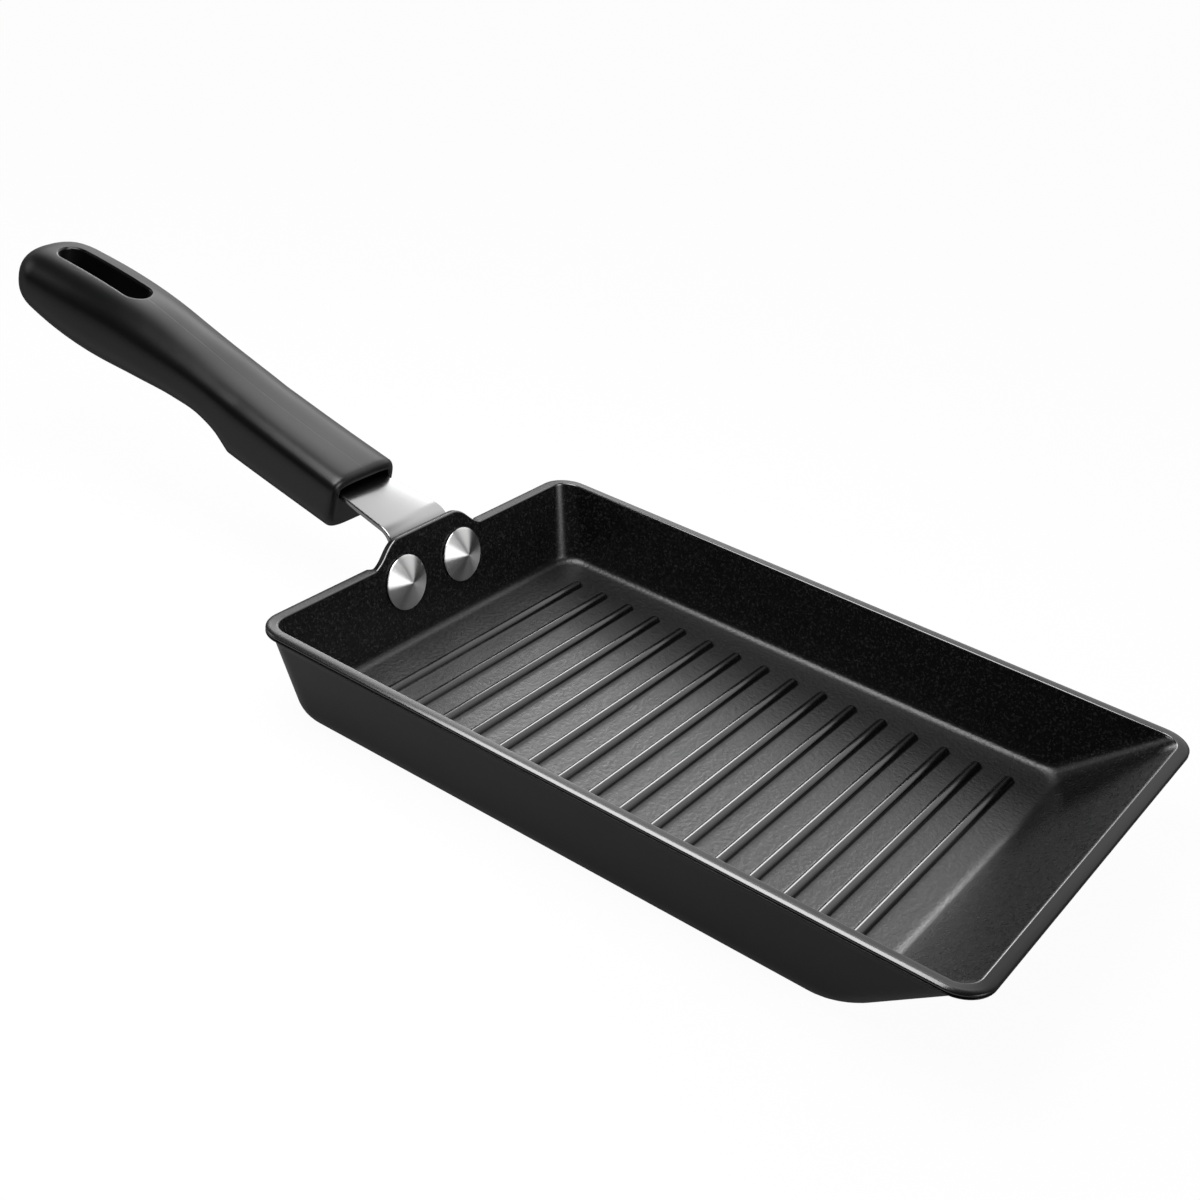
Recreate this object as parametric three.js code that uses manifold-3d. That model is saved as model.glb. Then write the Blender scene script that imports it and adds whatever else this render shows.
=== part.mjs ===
// Rectangular cast grill pan: ribbed tray, riveted strap bracket and moulded handle grip.
// Millimetres, +Z up. The origin is the middle of the flat underside, and the handle points to -X.
import * as THREE from 'three';
import { mergeVertices } from 'three/addons/utils/BufferGeometryUtils.js';
import Module from 'manifold-3d';

const wasm = await Module();
wasm.setup();

// Tray: outside sizes, walls, and how far each inner wall leans out between the floor and the rim
const RIM_LENGTH = 234;
const RIM_WIDTH = 150;
const PAN_HEIGHT = 29.4;
const BASE_THICKNESS = 3;
const WALL_THICKNESS = 2.4;
const HANDLE_WALL_RUN = 7.7;
const FRONT_WALL_RUN = 29.5;
const SIDE_WALL_RUN = 3.3;

// Tray: plan corners widen from the rim down, inside to the floor and outside to the base
const CORNER_RADIUS = 6;
const FLOOR_CORNER_RADIUS = 9;
const BASE_CORNER_RADIUS = 14;
const FLOOR_FILLET = 5;
const FRONT_FLOOR_FILLET = 10;
const BASE_FILLET = 8;
const FRONT_BASE_FILLET = 26;

// Rim lip
const LIP_WIDTH = 3.7;
const LIP_THICKNESS = 2;
const LIP_ROUND = 0.6;

// Grill ribs across the floor
const RIB_PITCH = 10.85;
const RIB_RADIUS = 1.9;
const RIB_SINK = 0.2;
const RIB_ROOT = 0.6;
const RIB_HANDLE_MARGIN = 14.8;
const RIB_FRONT_MARGIN = 8;
const RIB_SIDE_MARGIN = 12.5;

// Rivets, and the tab that raises the handle wall behind them
const RIVET_SPACING = 27.3;
const RIVET_DROP = 7.6;
const RIVET_HEAD_RADIUS = 8.9;
const RIVET_HEAD_EDGE = 1.4;
const RIVET_DOME = 1.7;
const RIVET_SHANK_RADIUS = 3;
const RIVET_TAIL_RADIUS = 5.4;
const RIVET_TAIL_HEIGHT = 2.2;
const TAB_RISE = 7.3;
const TAB_SIDE = 10.3;
const TAB_COVER = 2;
const TAB_ROUND = 4;
const TAB_ROOT = 1.2;

// Strap bracket: plate on the wall, bend, tongue into the grip
const STRAP_THICKNESS = 1.8;
const PLATE_MARGIN = 8;
const PLATE_ROUND = 6;
const NECK_WIDTH = 28;
const SHOULDER_LENGTH = 10;
const BEND_RISE = 7.4;
const BEND_RADIUS = 7;
const HANDLE_TILT = THREE.MathUtils.degToRad(9);
const EXPOSED_LENGTH = 24;
const TONGUE_WIDTH = 22;
const TONGUE_LENGTH = 42;
const TONGUE_ROUND = 5;

// Grip: top line above the tongue, and half width, at shares of the length from the mouth to the tip
const GRIP_LENGTH = 162.5;
const GRIP_TOP_PLACES = [0, 0.18, 0.34, 0.51, 0.66, 0.79, 0.91, 1];
const GRIP_TOP = [6.8, 8.7, 11.2, 15, 17.9, 18, 17, 15.8];
const GRIP_WIDTH_PLACES = [0, 0.25, 0.43, 0.62, 0.8, 1];
const GRIP_HALF_WIDTH = [15, 14.5, 14.2, 16, 17.5, 17];
const GRIP_SQUARENESS_PLACES = [0, 0.3, 0.47, 0.8, 1];
const GRIP_SQUARENESS = [4.6, 4.2, 3.2, 2.7, 2.4];
const GRIP_WIDEST_SHARE = 0.5;
const TIP_PLAN_ROUND = 15;
const TIP_PROFILE_ROUND = 10;
const MOUTH_ROUND = 2.2;

// Grip underside below the tongue: a block at the mouth, then a finger groove at shares of the rest
const BLOCK_LENGTH = 49;
const BLOCK_DEPTH = 12.6;
const GROOVE_PLACES = [0, 0.06, 0.13, 0.25, 0.41, 0.6, 0.78, 1];
const GROOVE = [11.2, 7.1, 4.9, 4.9, 6.6, 8.4, 7.6, 3];

// Socket for the tongue, and the hanging slot in the tail
const SOCKET_SIDE_ROOM = 1.1;
const SOCKET_HEADROOM = 0.3;
const SLOT_TIP_MARGIN = 12.8;
const SLOT_LENGTH = 42.5;
const SLOT_WIDTH = 10;

// Screw, washer and square nut that hold the grip on the tongue
const SCREW_STATION = 26;
const SCREW_RADIUS = 2;
const SCREW_HEAD_RADIUS = 3.9;
const SCREW_HEAD_HEIGHT = 2.6;
const SCREW_END = 0.4;
const WASHER_RADIUS = 4.5;
const WASHER_THICKNESS = 0.8;
const COUNTERBORE_FLOOR = 5.4;
const NUT_WIDTH = 7;
const NUT_HEIGHT = 1.8;

// Clearances and facets
const SEAT_GAP = 0.3;
const HOLE_CLEARANCE = 0.3;
const TONGUE_CLEARANCE = 0.7;
const CUT_MARGIN = 2;
const CORNER_STEPS = 6;
const FILLET_STEPS = 6;
const EDGE_STEPS = 3;
const TIP_STEPS = 6;
const RIB_SIDES = 14;
const RIVET_SIDES = 36;
const HOLE_SIDES = 24;
const GRIP_SIDES = 44;
const GRIP_STEP = 7;
const STRAP_STEP = 2;

// Rounded ends stop this far round their quarter turn, and a flat fan closes the rest
const END_TURN = THREE.MathUtils.degToRad(80);
const QUARTER = Math.PI / 2;

const X = new THREE.Vector3(1, 0, 0);
const Y = new THREE.Vector3(0, 1, 0);
const Z = new THREE.Vector3(0, 0, 1);
const ALONG_X = new THREE.Matrix4().makeBasis(Y, Z, X);

// A closed mesh as a solid for joining and cutting, and back again

function toSolid(geometry) {
  const shell = geometry.clone();
  shell.deleteAttribute('normal');
  shell.deleteAttribute('uv');
  const merged = mergeVertices(shell);
  const corners = merged.index.array;
  const triangles = [];
  for (let i = 0; i < corners.length; i += 3) {
    const [a, b, c] = corners.slice(i, i + 3);
    if (a !== b && b !== c && c !== a) triangles.push(a, b, c);
  }
  return new wasm.Manifold(new wasm.Mesh({
    numProp: 3,
    vertProperties: merged.attributes.position.array,
    triVerts: Uint32Array.from(triangles),
  }));
}

function toGeometry(solid) {
  const { vertProperties, triVerts } = solid.getMesh();
  const geometry = new THREE.BufferGeometry();
  geometry.setAttribute('position', new THREE.BufferAttribute(vertProperties, 3));
  geometry.setIndex(new THREE.BufferAttribute(triVerts, 1));
  geometry.computeVertexNormals();
  return geometry;
}

// A skin through closed rings of equal point counts, with a fan over the first and the last ring
function loft(rings) {
  const sides = rings[0].length;
  const points = rings.flat();
  const faces = [];
  for (let r = 0; r + 1 < rings.length; r += 1) {
    for (let i = 0; i < sides; i += 1) {
      const a = r * sides + i;
      const b = r * sides + ((i + 1) % sides);
      faces.push(a, b, b + sides, a, b + sides, a + sides);
    }
  }
  const last = (rings.length - 1) * sides;
  const firstHub = points.push(middle(rings[0])) - 1;
  const lastHub = points.push(middle(rings.at(-1))) - 1;
  for (let i = 0; i < sides; i += 1) {
    const next = (i + 1) % sides;
    faces.push(firstHub, next, i, lastHub, last + i, last + next);
  }
  const geometry = new THREE.BufferGeometry().setFromPoints(points);
  geometry.setIndex(faces);
  geometry.computeVertexNormals();
  return geometry;
}

function middle(ring) {
  const sum = new THREE.Vector3();
  ring.forEach((point) => sum.add(point));
  return sum.divideScalar(ring.length);
}

// An outline whose corners [x, y, trim] are rounded over the trimmed length of both edges
function roundedShape(corners) {
  const shape = new THREE.Shape();
  corners.forEach(([x, y, trim], i) => {
    const corner = new THREE.Vector2(x, y);
    const before = new THREE.Vector2(...corners.at(i - 1)).sub(corner).setLength(trim).add(corner);
    const next = corners[(i + 1) % corners.length];
    const after = new THREE.Vector2(...next).sub(corner).setLength(trim).add(corner);
    if (i === 0) shape.moveTo(before.x, before.y);
    else shape.lineTo(before.x, before.y);
    if (trim > 0) shape.quadraticCurveTo(x, y, after.x, after.y);
  });
  return shape;
}

function extrude(shape, depth) {
  return new THREE.ExtrudeGeometry(shape, { depth, bevelEnabled: false, curveSegments: CORNER_STEPS });
}

function rod(radius, from, to) {
  const geometry = new THREE.CylinderGeometry(radius, radius, to - from, HOLE_SIDES);
  return geometry.translate(0, (from + to) / 2, 0);
}

// Smooth curve through sizes at places from 0 to 1 along a length
function sizeAlong(places, sizes, length) {
  const curve = new THREE.CubicInterpolant(places, sizes, 1);
  return (distance) => curve.evaluate(distance / length)[0];
}

// Angles from zero to a whole turn in equal steps, both ends included
function turns(whole, steps) {
  return Array.from({ length: steps + 1 }, (_, i) => whole * (i / steps));
}

// Tray layout

// Distance from the sharp floor corner to a wall leaning out, with a fillet between floor and wall
function wallReach(height, lean, fillet) {
  if (height >= fillet * (1 - Math.sin(lean))) return height * Math.tan(lean);
  return Math.sqrt(fillet ** 2 - (fillet - height) ** 2) - filletRun(lean, fillet);
}

function filletRun(lean, fillet) {
  return fillet * Math.tan((QUARTER - lean) / 2);
}

const depth = PAN_HEIGHT - BASE_THICKNESS;
const lipUnderside = PAN_HEIGHT - LIP_THICKNESS;
const handleLean = Math.atan(HANDLE_WALL_RUN / depth);
const frontLean = Math.atan(FRONT_WALL_RUN / depth);
const sideLean = Math.atan(SIDE_WALL_RUN / depth);

// How far the sharp outer corner at the underside stands outside the sharp inner corner at the floor
function outerOffset(lean) {
  return WALL_THICKNESS / Math.cos(lean) - BASE_THICKNESS * Math.tan(lean);
}

const floorLength = RIM_LENGTH - 2 * LIP_WIDTH - HANDLE_WALL_RUN - FRONT_WALL_RUN;
const floorHalfWidth = RIM_WIDTH / 2 - LIP_WIDTH - SIDE_WALL_RUN;
const flatStart = outerOffset(handleLean) - filletRun(handleLean, BASE_FILLET);
const flatEnd = floorLength + outerOffset(frontLean) - filletRun(frontLean, FRONT_BASE_FILLET);
const floorStart = (flatStart - flatEnd) / 2;
const floorEnd = floorStart + floorLength;
const rimStart = floorStart - HANDLE_WALL_RUN;
const rimEnd = floorEnd + FRONT_WALL_RUN;
const rimHalfWidth = floorHalfWidth + SIDE_WALL_RUN;

function trayRing(start, end, halfWidth, radius, z) {
  const corners = [
    [end - radius, -halfWidth + radius, -QUARTER],
    [end - radius, halfWidth - radius, 0],
    [start + radius, halfWidth - radius, QUARTER],
    [start + radius, -halfWidth + radius, 2 * QUARTER],
  ];
  return corners.flatMap(([x, y, from]) => turns(QUARTER, CORNER_STEPS).map((turn) => {
    const way = new THREE.Vector2(radius, 0).rotateAround(new THREE.Vector2(), from + turn);
    return new THREE.Vector3(x + way.x, y + way.y, z);
  }));
}

// Plan corner radius at a share of the height, less what a fillet draws the side wall in
function cornerRadius(low, high, share, side, height) {
  return THREE.MathUtils.lerp(low, high, share) + side - height * Math.tan(sideLean);
}

function innerRing(height) {
  const side = wallReach(height, sideLean, FLOOR_FILLET);
  return trayRing(
    floorStart - wallReach(height, handleLean, FLOOR_FILLET),
    floorEnd + wallReach(height, frontLean, FRONT_FLOOR_FILLET),
    floorHalfWidth + side,
    cornerRadius(FLOOR_CORNER_RADIUS, CORNER_RADIUS, height / depth, side, height),
    BASE_THICKNESS + height,
  );
}

function outerRing(height) {
  const side = wallReach(height, sideLean, BASE_FILLET);
  return trayRing(
    floorStart - outerOffset(handleLean) - wallReach(height, handleLean, BASE_FILLET),
    floorEnd + outerOffset(frontLean) + wallReach(height, frontLean, FRONT_BASE_FILLET),
    floorHalfWidth + outerOffset(sideLean) + side,
    cornerRadius(BASE_CORNER_RADIUS, CORNER_RADIUS + WALL_THICKNESS, height / lipUnderside, side, height),
    height,
  );
}

// Rim outline grown by `out` from the inner edge of the rim
function rimRing(out, z) {
  return trayRing(rimStart - out, rimEnd + out, rimHalfWidth + out, CORNER_RADIUS + out, z);
}

// Heights up a fillet in equal turns of its arc
function filletHeights(fillet) {
  return turns(QUARTER, FILLET_STEPS).map((turn) => fillet * (1 - Math.cos(turn)));
}

// Rings round a quarter turn of a rim edge, from angle `from` about a centre at `out`, `z`
function edgeRings(out, z, from) {
  return turns(QUARTER, EDGE_STEPS).map((turn) => (
    rimRing(out + LIP_ROUND * Math.cos(from + turn), z + LIP_ROUND * Math.sin(from + turn))
  ));
}

function trayShell() {
  return loft([
    ...filletHeights(BASE_FILLET).map(outerRing),
    outerRing(lipUnderside),
    ...edgeRings(LIP_WIDTH - LIP_ROUND, lipUnderside + LIP_ROUND, -QUARTER),
    ...edgeRings(LIP_WIDTH - LIP_ROUND, PAN_HEIGHT - LIP_ROUND, 0),
    ...edgeRings(LIP_ROUND, PAN_HEIGHT - LIP_ROUND, QUARTER),
    ...filletHeights(FLOOR_FILLET).reverse().map(innerRing),
  ]);
}

// Frame of the handle wall: X into the pan, Z up along the wall, origin on the inner edge of the rim
const wallFrame = new THREE.Matrix4().makeRotationY(-handleLean).setPosition(rimStart, 0, PAN_HEIGHT);
const rivetPlaces = { rivet_left: -RIVET_SPACING / 2, rivet_right: RIVET_SPACING / 2 };
const tabBaseWidth = RIVET_SPACING + 2 * TAB_SIDE;
const tabTopWidth = NECK_WIDTH + 2 * TAB_COVER;
const plateWidth = RIVET_SPACING + 2 * PLATE_MARGIN;
const plateBack = -WALL_THICKNESS - SEAT_GAP - STRAP_THICKNESS;

function tab() {
  const outline = roundedShape([
    [-tabBaseWidth / 2 - TAB_ROUND, -TAB_ROOT, 0],
    [tabBaseWidth / 2 + TAB_ROUND, -TAB_ROOT, 0],
    [tabBaseWidth / 2 + TAB_ROUND, 0, 0],
    [tabBaseWidth / 2, 0, TAB_ROUND],
    [tabTopWidth / 2, TAB_RISE, TAB_ROUND],
    [-tabTopWidth / 2, TAB_RISE, TAB_ROUND],
    [-tabBaseWidth / 2, 0, TAB_ROUND],
    [-tabBaseWidth / 2 - TAB_ROUND, 0, 0],
  ]);
  return extrude(outline, WALL_THICKNESS).applyMatrix4(ALONG_X).translate(-WALL_THICKNESS, 0, 0);
}

// The lip runs out on both sides of the tab, so that the bracket's plate can lie flat on the wall
function lipNotch() {
  const outer = -WALL_THICKNESS - 2 * LIP_WIDTH;
  const outline = new THREE.Shape([
    new THREE.Vector2(-WALL_THICKNESS, tabBaseWidth / 2),
    new THREE.Vector2(outer, tabBaseWidth / 2 + 2 * LIP_WIDTH),
    new THREE.Vector2(outer, -tabBaseWidth / 2 - 2 * LIP_WIDTH),
    new THREE.Vector2(-WALL_THICKNESS, -tabBaseWidth / 2),
  ]);
  const drop = LIP_THICKNESS + CUT_MARGIN;
  return extrude(outline, drop + CUT_MARGIN).translate(0, 0, -drop);
}

// One rib along Y: a round bar with rounded ends, cut off flat a little below the floor
function rib() {
  const straight = floorHalfWidth - RIB_SIDE_MARGIN - RIB_RADIUS;
  const end = turns(END_TURN, EDGE_STEPS);
  const reach = [
    ...end.toReversed().map((turn) => [turn, -straight - RIB_RADIUS * Math.sin(turn)]),
    ...end.map((turn) => [turn, straight + RIB_RADIUS * Math.sin(turn)]),
  ];
  return loft(reach.map(([turn, y]) => ribRing(RIB_RADIUS * Math.cos(turn), y)));
}

function ribRing(radius, y) {
  return Array.from({ length: RIB_SIDES }, (_, i) => {
    const angle = 4 * QUARTER * (i / RIB_SIDES);
    return new THREE.Vector3(radius * Math.sin(angle), y, Math.max(-RIB_ROOT, radius * Math.cos(angle)));
  });
}

function ribs() {
  const rows = Math.floor((floorLength - RIB_HANDLE_MARGIN - RIB_FRONT_MARGIN) / RIB_PITCH) + 1;
  return Array.from({ length: rows }, (_, row) => {
    const x = floorStart + RIB_HANDLE_MARGIN + row * RIB_PITCH;
    return rib().translate(x, 0, BASE_THICKNESS - RIB_SINK);
  });
}

// A hole through the handle wall, in the wall's frame
function wallHole(radius, y, from, to) {
  return rod(radius, from, to).rotateZ(-QUARTER).translate(0, y, -RIVET_DROP);
}

function panBody() {
  let body = toSolid(trayShell());
  body = body.subtract(toSolid(lipNotch().applyMatrix4(wallFrame)));
  body = body.add(toSolid(tab().applyMatrix4(wallFrame)));
  ribs().forEach((bar) => {
    body = body.add(toSolid(bar));
  });
  Object.values(rivetPlaces).forEach((y) => {
    const hole = wallHole(RIVET_SHANK_RADIUS + HOLE_CLEARANCE, y, -WALL_THICKNESS - CUT_MARGIN, CUT_MARGIN);
    body = body.subtract(toSolid(hole.applyMatrix4(wallFrame)));
  });
  return toGeometry(body);
}

// Rivet: domed head inside the pan, shank, and the upset tail behind the plate
function rivet() {
  const seat = SEAT_GAP;
  const tail = plateBack - SEAT_GAP;
  const profile = new THREE.Path();
  profile.moveTo(0, tail - RIVET_TAIL_HEIGHT);
  profile.quadraticCurveTo(RIVET_TAIL_RADIUS, tail - RIVET_TAIL_HEIGHT, RIVET_TAIL_RADIUS, tail);
  profile.lineTo(RIVET_SHANK_RADIUS, tail);
  profile.lineTo(RIVET_SHANK_RADIUS, seat);
  profile.lineTo(RIVET_HEAD_RADIUS, seat);
  profile.lineTo(RIVET_HEAD_RADIUS, seat + RIVET_HEAD_EDGE);
  profile.quadraticCurveTo(
    RIVET_HEAD_RADIUS / 2, seat + RIVET_HEAD_EDGE + RIVET_DOME,
    0, seat + RIVET_HEAD_EDGE + RIVET_DOME,
  );
  return new THREE.LatheGeometry(profile.getPoints(CORNER_STEPS), RIVET_SIDES).rotateZ(-QUARTER);
}

// Strap bracket: its middle line in the XZ plane runs up the wall, round the bend and along the tongue
const wallUp = new THREE.Vector2(-Math.sin(handleLean), Math.cos(handleLean));
const wallOut = new THREE.Vector2(-Math.cos(handleLean), -Math.sin(handleLean));
const tongueWay = new THREE.Vector2(-Math.cos(HANDLE_TILT), Math.sin(HANDLE_TILT));
const strapOffset = WALL_THICKNESS + SEAT_GAP + STRAP_THICKNESS / 2;

function onStrap(rise) {
  const rim = new THREE.Vector2(rimStart, PAN_HEIGHT);
  return rim.addScaledVector(wallOut, strapOffset).addScaledVector(wallUp, rise);
}

const bendCorner = onStrap(BEND_RISE);
const mouth = bendCorner.clone().addScaledVector(tongueWay, EXPOSED_LENGTH);
const bendTurn = Math.acos(wallUp.dot(tongueWay));
const bendTrim = BEND_RADIUS * Math.tan(bendTurn / 2);
const plateDrop = RIVET_DROP + PLATE_MARGIN;
const plateLength = plateDrop + BEND_RISE - bendTrim;
const bendLength = BEND_RADIUS * bendTurn;
const tongueStraight = EXPOSED_LENGTH + TONGUE_LENGTH - bendTrim;
const strapLength = plateLength + bendLength + tongueStraight;

// Point and direction of the strap's middle line at a length from the plate's lower edge
function strapAt(length) {
  if (length <= plateLength) return { point: onStrap(length - plateDrop), way: wallUp };
  const bendStart = onStrap(plateLength - plateDrop);
  const centre = bendStart.clone().addScaledVector(wallOut, BEND_RADIUS);
  const turn = Math.min((length - plateLength) / BEND_RADIUS, bendTurn);
  const point = bendStart.rotateAround(centre, turn);
  const way = wallUp.clone().rotateAround(new THREE.Vector2(), turn);
  return { point: point.addScaledVector(way, Math.max(0, length - plateLength - bendLength)), way };
}

function strapHalfWidth(length) {
  const { smoothstep, lerp } = THREE.MathUtils;
  const shoulder = smoothstep(length, plateLength - SHOULDER_LENGTH, plateLength);
  const neck = lerp(plateWidth / 2, NECK_WIDTH / 2, shoulder);
  const taperEnd = strapLength - TONGUE_LENGTH;
  const taper = THREE.MathUtils.clamp((length - plateLength) / (taperEnd - plateLength), 0, 1);
  const width = lerp(neck, TONGUE_WIDTH / 2, taper);
  return width - roundLoss(length, PLATE_ROUND) - roundLoss(strapLength - length, TONGUE_ROUND);
}

// What a corner rounding takes off the width at a distance from the end
function roundLoss(distance, radius) {
  const inside = Math.max(0, radius - distance);
  return radius - Math.sqrt(radius ** 2 - inside ** 2);
}

function strapBlank() {
  const steps = Math.ceil(strapLength / STRAP_STEP);
  const lengths = Array.from({ length: steps + 1 }, (_, i) => strapLength * (i / steps));
  return loft(lengths.map((length) => {
    const { point, way } = strapAt(length);
    const half = strapHalfWidth(length);
    const front = new THREE.Vector2(way.y, -way.x).multiplyScalar(STRAP_THICKNESS / 2);
    return [[1, -1], [1, 1], [-1, 1], [-1, -1]].map(([face, side]) => (
      new THREE.Vector3(point.x + face * front.x, side * half, point.y + face * front.y)
    ));
  }));
}

// Frame of the grip: -X along the tongue away from the pan, origin in the mouth on the tongue's middle
const gripFrame = new THREE.Matrix4().makeRotationY(HANDLE_TILT).setPosition(mouth.x, 0, mouth.y);

function uprightHole(radius, from, to) {
  return rod(radius, from, to).rotateX(QUARTER).translate(-SCREW_STATION, 0, 0);
}

function bracket() {
  let strap = toSolid(strapBlank());
  Object.values(rivetPlaces).forEach((y) => {
    const hole = wallHole(RIVET_SHANK_RADIUS + HOLE_CLEARANCE, y, plateBack - CUT_MARGIN, -WALL_THICKNESS);
    strap = strap.subtract(toSolid(hole.applyMatrix4(wallFrame)));
  });
  const through = STRAP_THICKNESS / 2 + CUT_MARGIN;
  const screwHole = uprightHole(SCREW_RADIUS + HOLE_CLEARANCE, -through, through);
  return toGeometry(strap.subtract(toSolid(screwHole.applyMatrix4(gripFrame))));
}

// Grip
const gripTop = sizeAlong(GRIP_TOP_PLACES, GRIP_TOP, GRIP_LENGTH);
const groove = sizeAlong(GROOVE_PLACES, GROOVE, GRIP_LENGTH - BLOCK_LENGTH);
const gripHalfWidth = sizeAlong(GRIP_WIDTH_PLACES, GRIP_HALF_WIDTH, GRIP_LENGTH);
const gripSquareness = sizeAlong(GRIP_SQUARENESS_PLACES, GRIP_SQUARENESS, GRIP_LENGTH);

function gripBottom(station) {
  if (station > BLOCK_LENGTH) return -groove(station - BLOCK_LENGTH);
  return -THREE.MathUtils.lerp(BLOCK_DEPTH, GROOVE[0], station / BLOCK_LENGTH);
}

// Share of the section that is left where an end is rounded over the given length
function endRound(distance, round) {
  const inside = Math.max(0, 1 - distance / round);
  return Math.sqrt(1 - inside ** 2);
}

function gripSection(station) {
  const top = gripTop(station);
  const bottom = gripBottom(station);
  const toTip = GRIP_LENGTH - station;
  const mouthLoss = MOUTH_ROUND * (1 - endRound(station, MOUTH_ROUND));
  const centre = THREE.MathUtils.lerp(bottom, top, GRIP_WIDEST_SHARE);
  const width = gripHalfWidth(station) * endRound(toTip, TIP_PLAN_ROUND) - mouthLoss;
  const profile = endRound(toTip, TIP_PROFILE_ROUND);
  const power = 2 / gripSquareness(station);
  return Array.from({ length: GRIP_SIDES }, (_, i) => {
    const angle = 4 * QUARTER * (i / GRIP_SIDES);
    const across = Math.sign(Math.sin(angle)) * Math.abs(Math.sin(angle)) ** power;
    const up = Math.sign(Math.cos(angle)) * Math.abs(Math.cos(angle)) ** power;
    const reach = (up > 0 ? top - centre : centre - bottom) * profile - mouthLoss;
    return new THREE.Vector3(-station, width * across, centre + reach * up);
  });
}

function gripStations() {
  const mouthRound = turns(QUARTER, EDGE_STEPS).map((turn) => MOUTH_ROUND * (1 - Math.cos(turn)));
  const tipStart = GRIP_LENGTH - TIP_PLAN_ROUND;
  const tip = turns(END_TURN, TIP_STEPS).map((turn) => tipStart + TIP_PLAN_ROUND * Math.sin(turn));
  const steps = Math.round((tipStart - MOUTH_ROUND) / GRIP_STEP);
  const body = Array.from({ length: steps - 1 }, (_, i) => (
    THREE.MathUtils.lerp(MOUTH_ROUND, tipStart, (i + 1) / steps)
  ));
  return [...mouthRound, ...body, BLOCK_LENGTH, ...tip].sort((a, b) => a - b);
}

// Height of the screw's end above the tongue's middle, through the nut
const screwTop = STRAP_THICKNESS / 2 + SEAT_GAP + NUT_HEIGHT + SCREW_END;

function socket() {
  const half = TONGUE_WIDTH / 2 + TONGUE_CLEARANCE;
  const floor = -STRAP_THICKNESS / 2 - SEAT_GAP;
  const side = STRAP_THICKNESS / 2 + SOCKET_SIDE_ROOM;
  const arch = screwTop + SOCKET_HEADROOM;
  const outline = new THREE.Shape();
  outline.moveTo(-half, floor);
  outline.lineTo(half, floor);
  outline.lineTo(half, side);
  outline.quadraticCurveTo(half / 2, arch, 0, arch);
  outline.quadraticCurveTo(-half / 2, arch, -half, side);
  const depthInside = TONGUE_LENGTH + TONGUE_CLEARANCE;
  return extrude(outline, depthInside + CUT_MARGIN).applyMatrix4(ALONG_X).translate(-depthInside, 0, 0);
}

function hangingSlot() {
  const round = SLOT_WIDTH / 2;
  const outline = new THREE.Shape();
  const tipEnd = SLOT_TIP_MARGIN - GRIP_LENGTH;
  outline.absarc(tipEnd + SLOT_LENGTH - round, 0, round, -QUARTER, QUARTER);
  outline.absarc(tipEnd + round, 0, round, QUARTER, 3 * QUARTER);
  const reach = Math.max(...GRIP_TOP, ...GROOVE) + CUT_MARGIN;
  return extrude(outline, 2 * reach).translate(0, 0, -reach);
}

function grip() {
  const below = -BLOCK_DEPTH - CUT_MARGIN;
  const screwHole = uprightHole(SCREW_RADIUS + HOLE_CLEARANCE, below, 0);
  const counterbore = uprightHole(WASHER_RADIUS + HOLE_CLEARANCE, below, -COUNTERBORE_FLOOR);
  const body = toSolid(loft(gripStations().map(gripSection)))
    .subtract(toSolid(socket()))
    .subtract(toSolid(hangingSlot()))
    .subtract(toSolid(screwHole))
    .subtract(toSolid(counterbore));
  return toGeometry(body);
}

// Screw, washer and nut, upright in the grip's frame

function screw() {
  const head = -COUNTERBORE_FLOOR - WASHER_THICKNESS - 2 * SEAT_GAP;
  const profile = new THREE.Path();
  profile.moveTo(0, head - SCREW_HEAD_HEIGHT);
  profile.quadraticCurveTo(SCREW_HEAD_RADIUS, head - SCREW_HEAD_HEIGHT, SCREW_HEAD_RADIUS, head);
  profile.lineTo(SCREW_RADIUS, head);
  profile.lineTo(SCREW_RADIUS, screwTop);
  profile.lineTo(0, screwTop);
  return new THREE.LatheGeometry(profile.getPoints(CORNER_STEPS), HOLE_SIDES).rotateX(QUARTER);
}

function washer() {
  const top = -COUNTERBORE_FLOOR - SEAT_GAP;
  const hole = SCREW_RADIUS + HOLE_CLEARANCE;
  const section = [
    [hole, top - WASHER_THICKNESS],
    [WASHER_RADIUS, top - WASHER_THICKNESS],
    [WASHER_RADIUS, top],
    [hole, top],
    [hole, top - WASHER_THICKNESS],
  ].map(([radius, height]) => new THREE.Vector2(radius, height));
  return new THREE.LatheGeometry(section, HOLE_SIDES).rotateX(QUARTER);
}

function nut() {
  const half = NUT_WIDTH / 2;
  const outline = new THREE.Shape([[-half, -half], [half, -half], [half, half], [-half, half]]
    .map(([x, y]) => new THREE.Vector2(x, y)));
  const bore = new THREE.Path().absarc(0, 0, SCREW_RADIUS + HOLE_CLEARANCE, 0, 4 * QUARTER, true);
  outline.holes.push(bore);
  return extrude(outline, NUT_HEIGHT).translate(0, 0, STRAP_THICKNESS / 2 + SEAT_GAP);
}

// Finishes
const castCoating = new THREE.MeshStandardMaterial({ color: 0x1c1c1d, roughness: 0.5, metalness: 0.1 });
const polishedSteel = new THREE.MeshStandardMaterial({ color: 0xdcdcdd, roughness: 0.2, metalness: 1 });
const spunSteel = new THREE.MeshStandardMaterial({ color: 0xc2c2c2, roughness: 0.32, metalness: 1 });
const blackMoulding = new THREE.MeshStandardMaterial({ color: 0x191919, roughness: 0.42, metalness: 0 });
const platedSteel = new THREE.MeshStandardMaterial({ color: 0xb4b6b8, roughness: 0.35, metalness: 1 });

function piece(name, geometry, material) {
  const mesh = new THREE.Mesh(geometry, material);
  mesh.name = name;
  return mesh;
}

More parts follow.
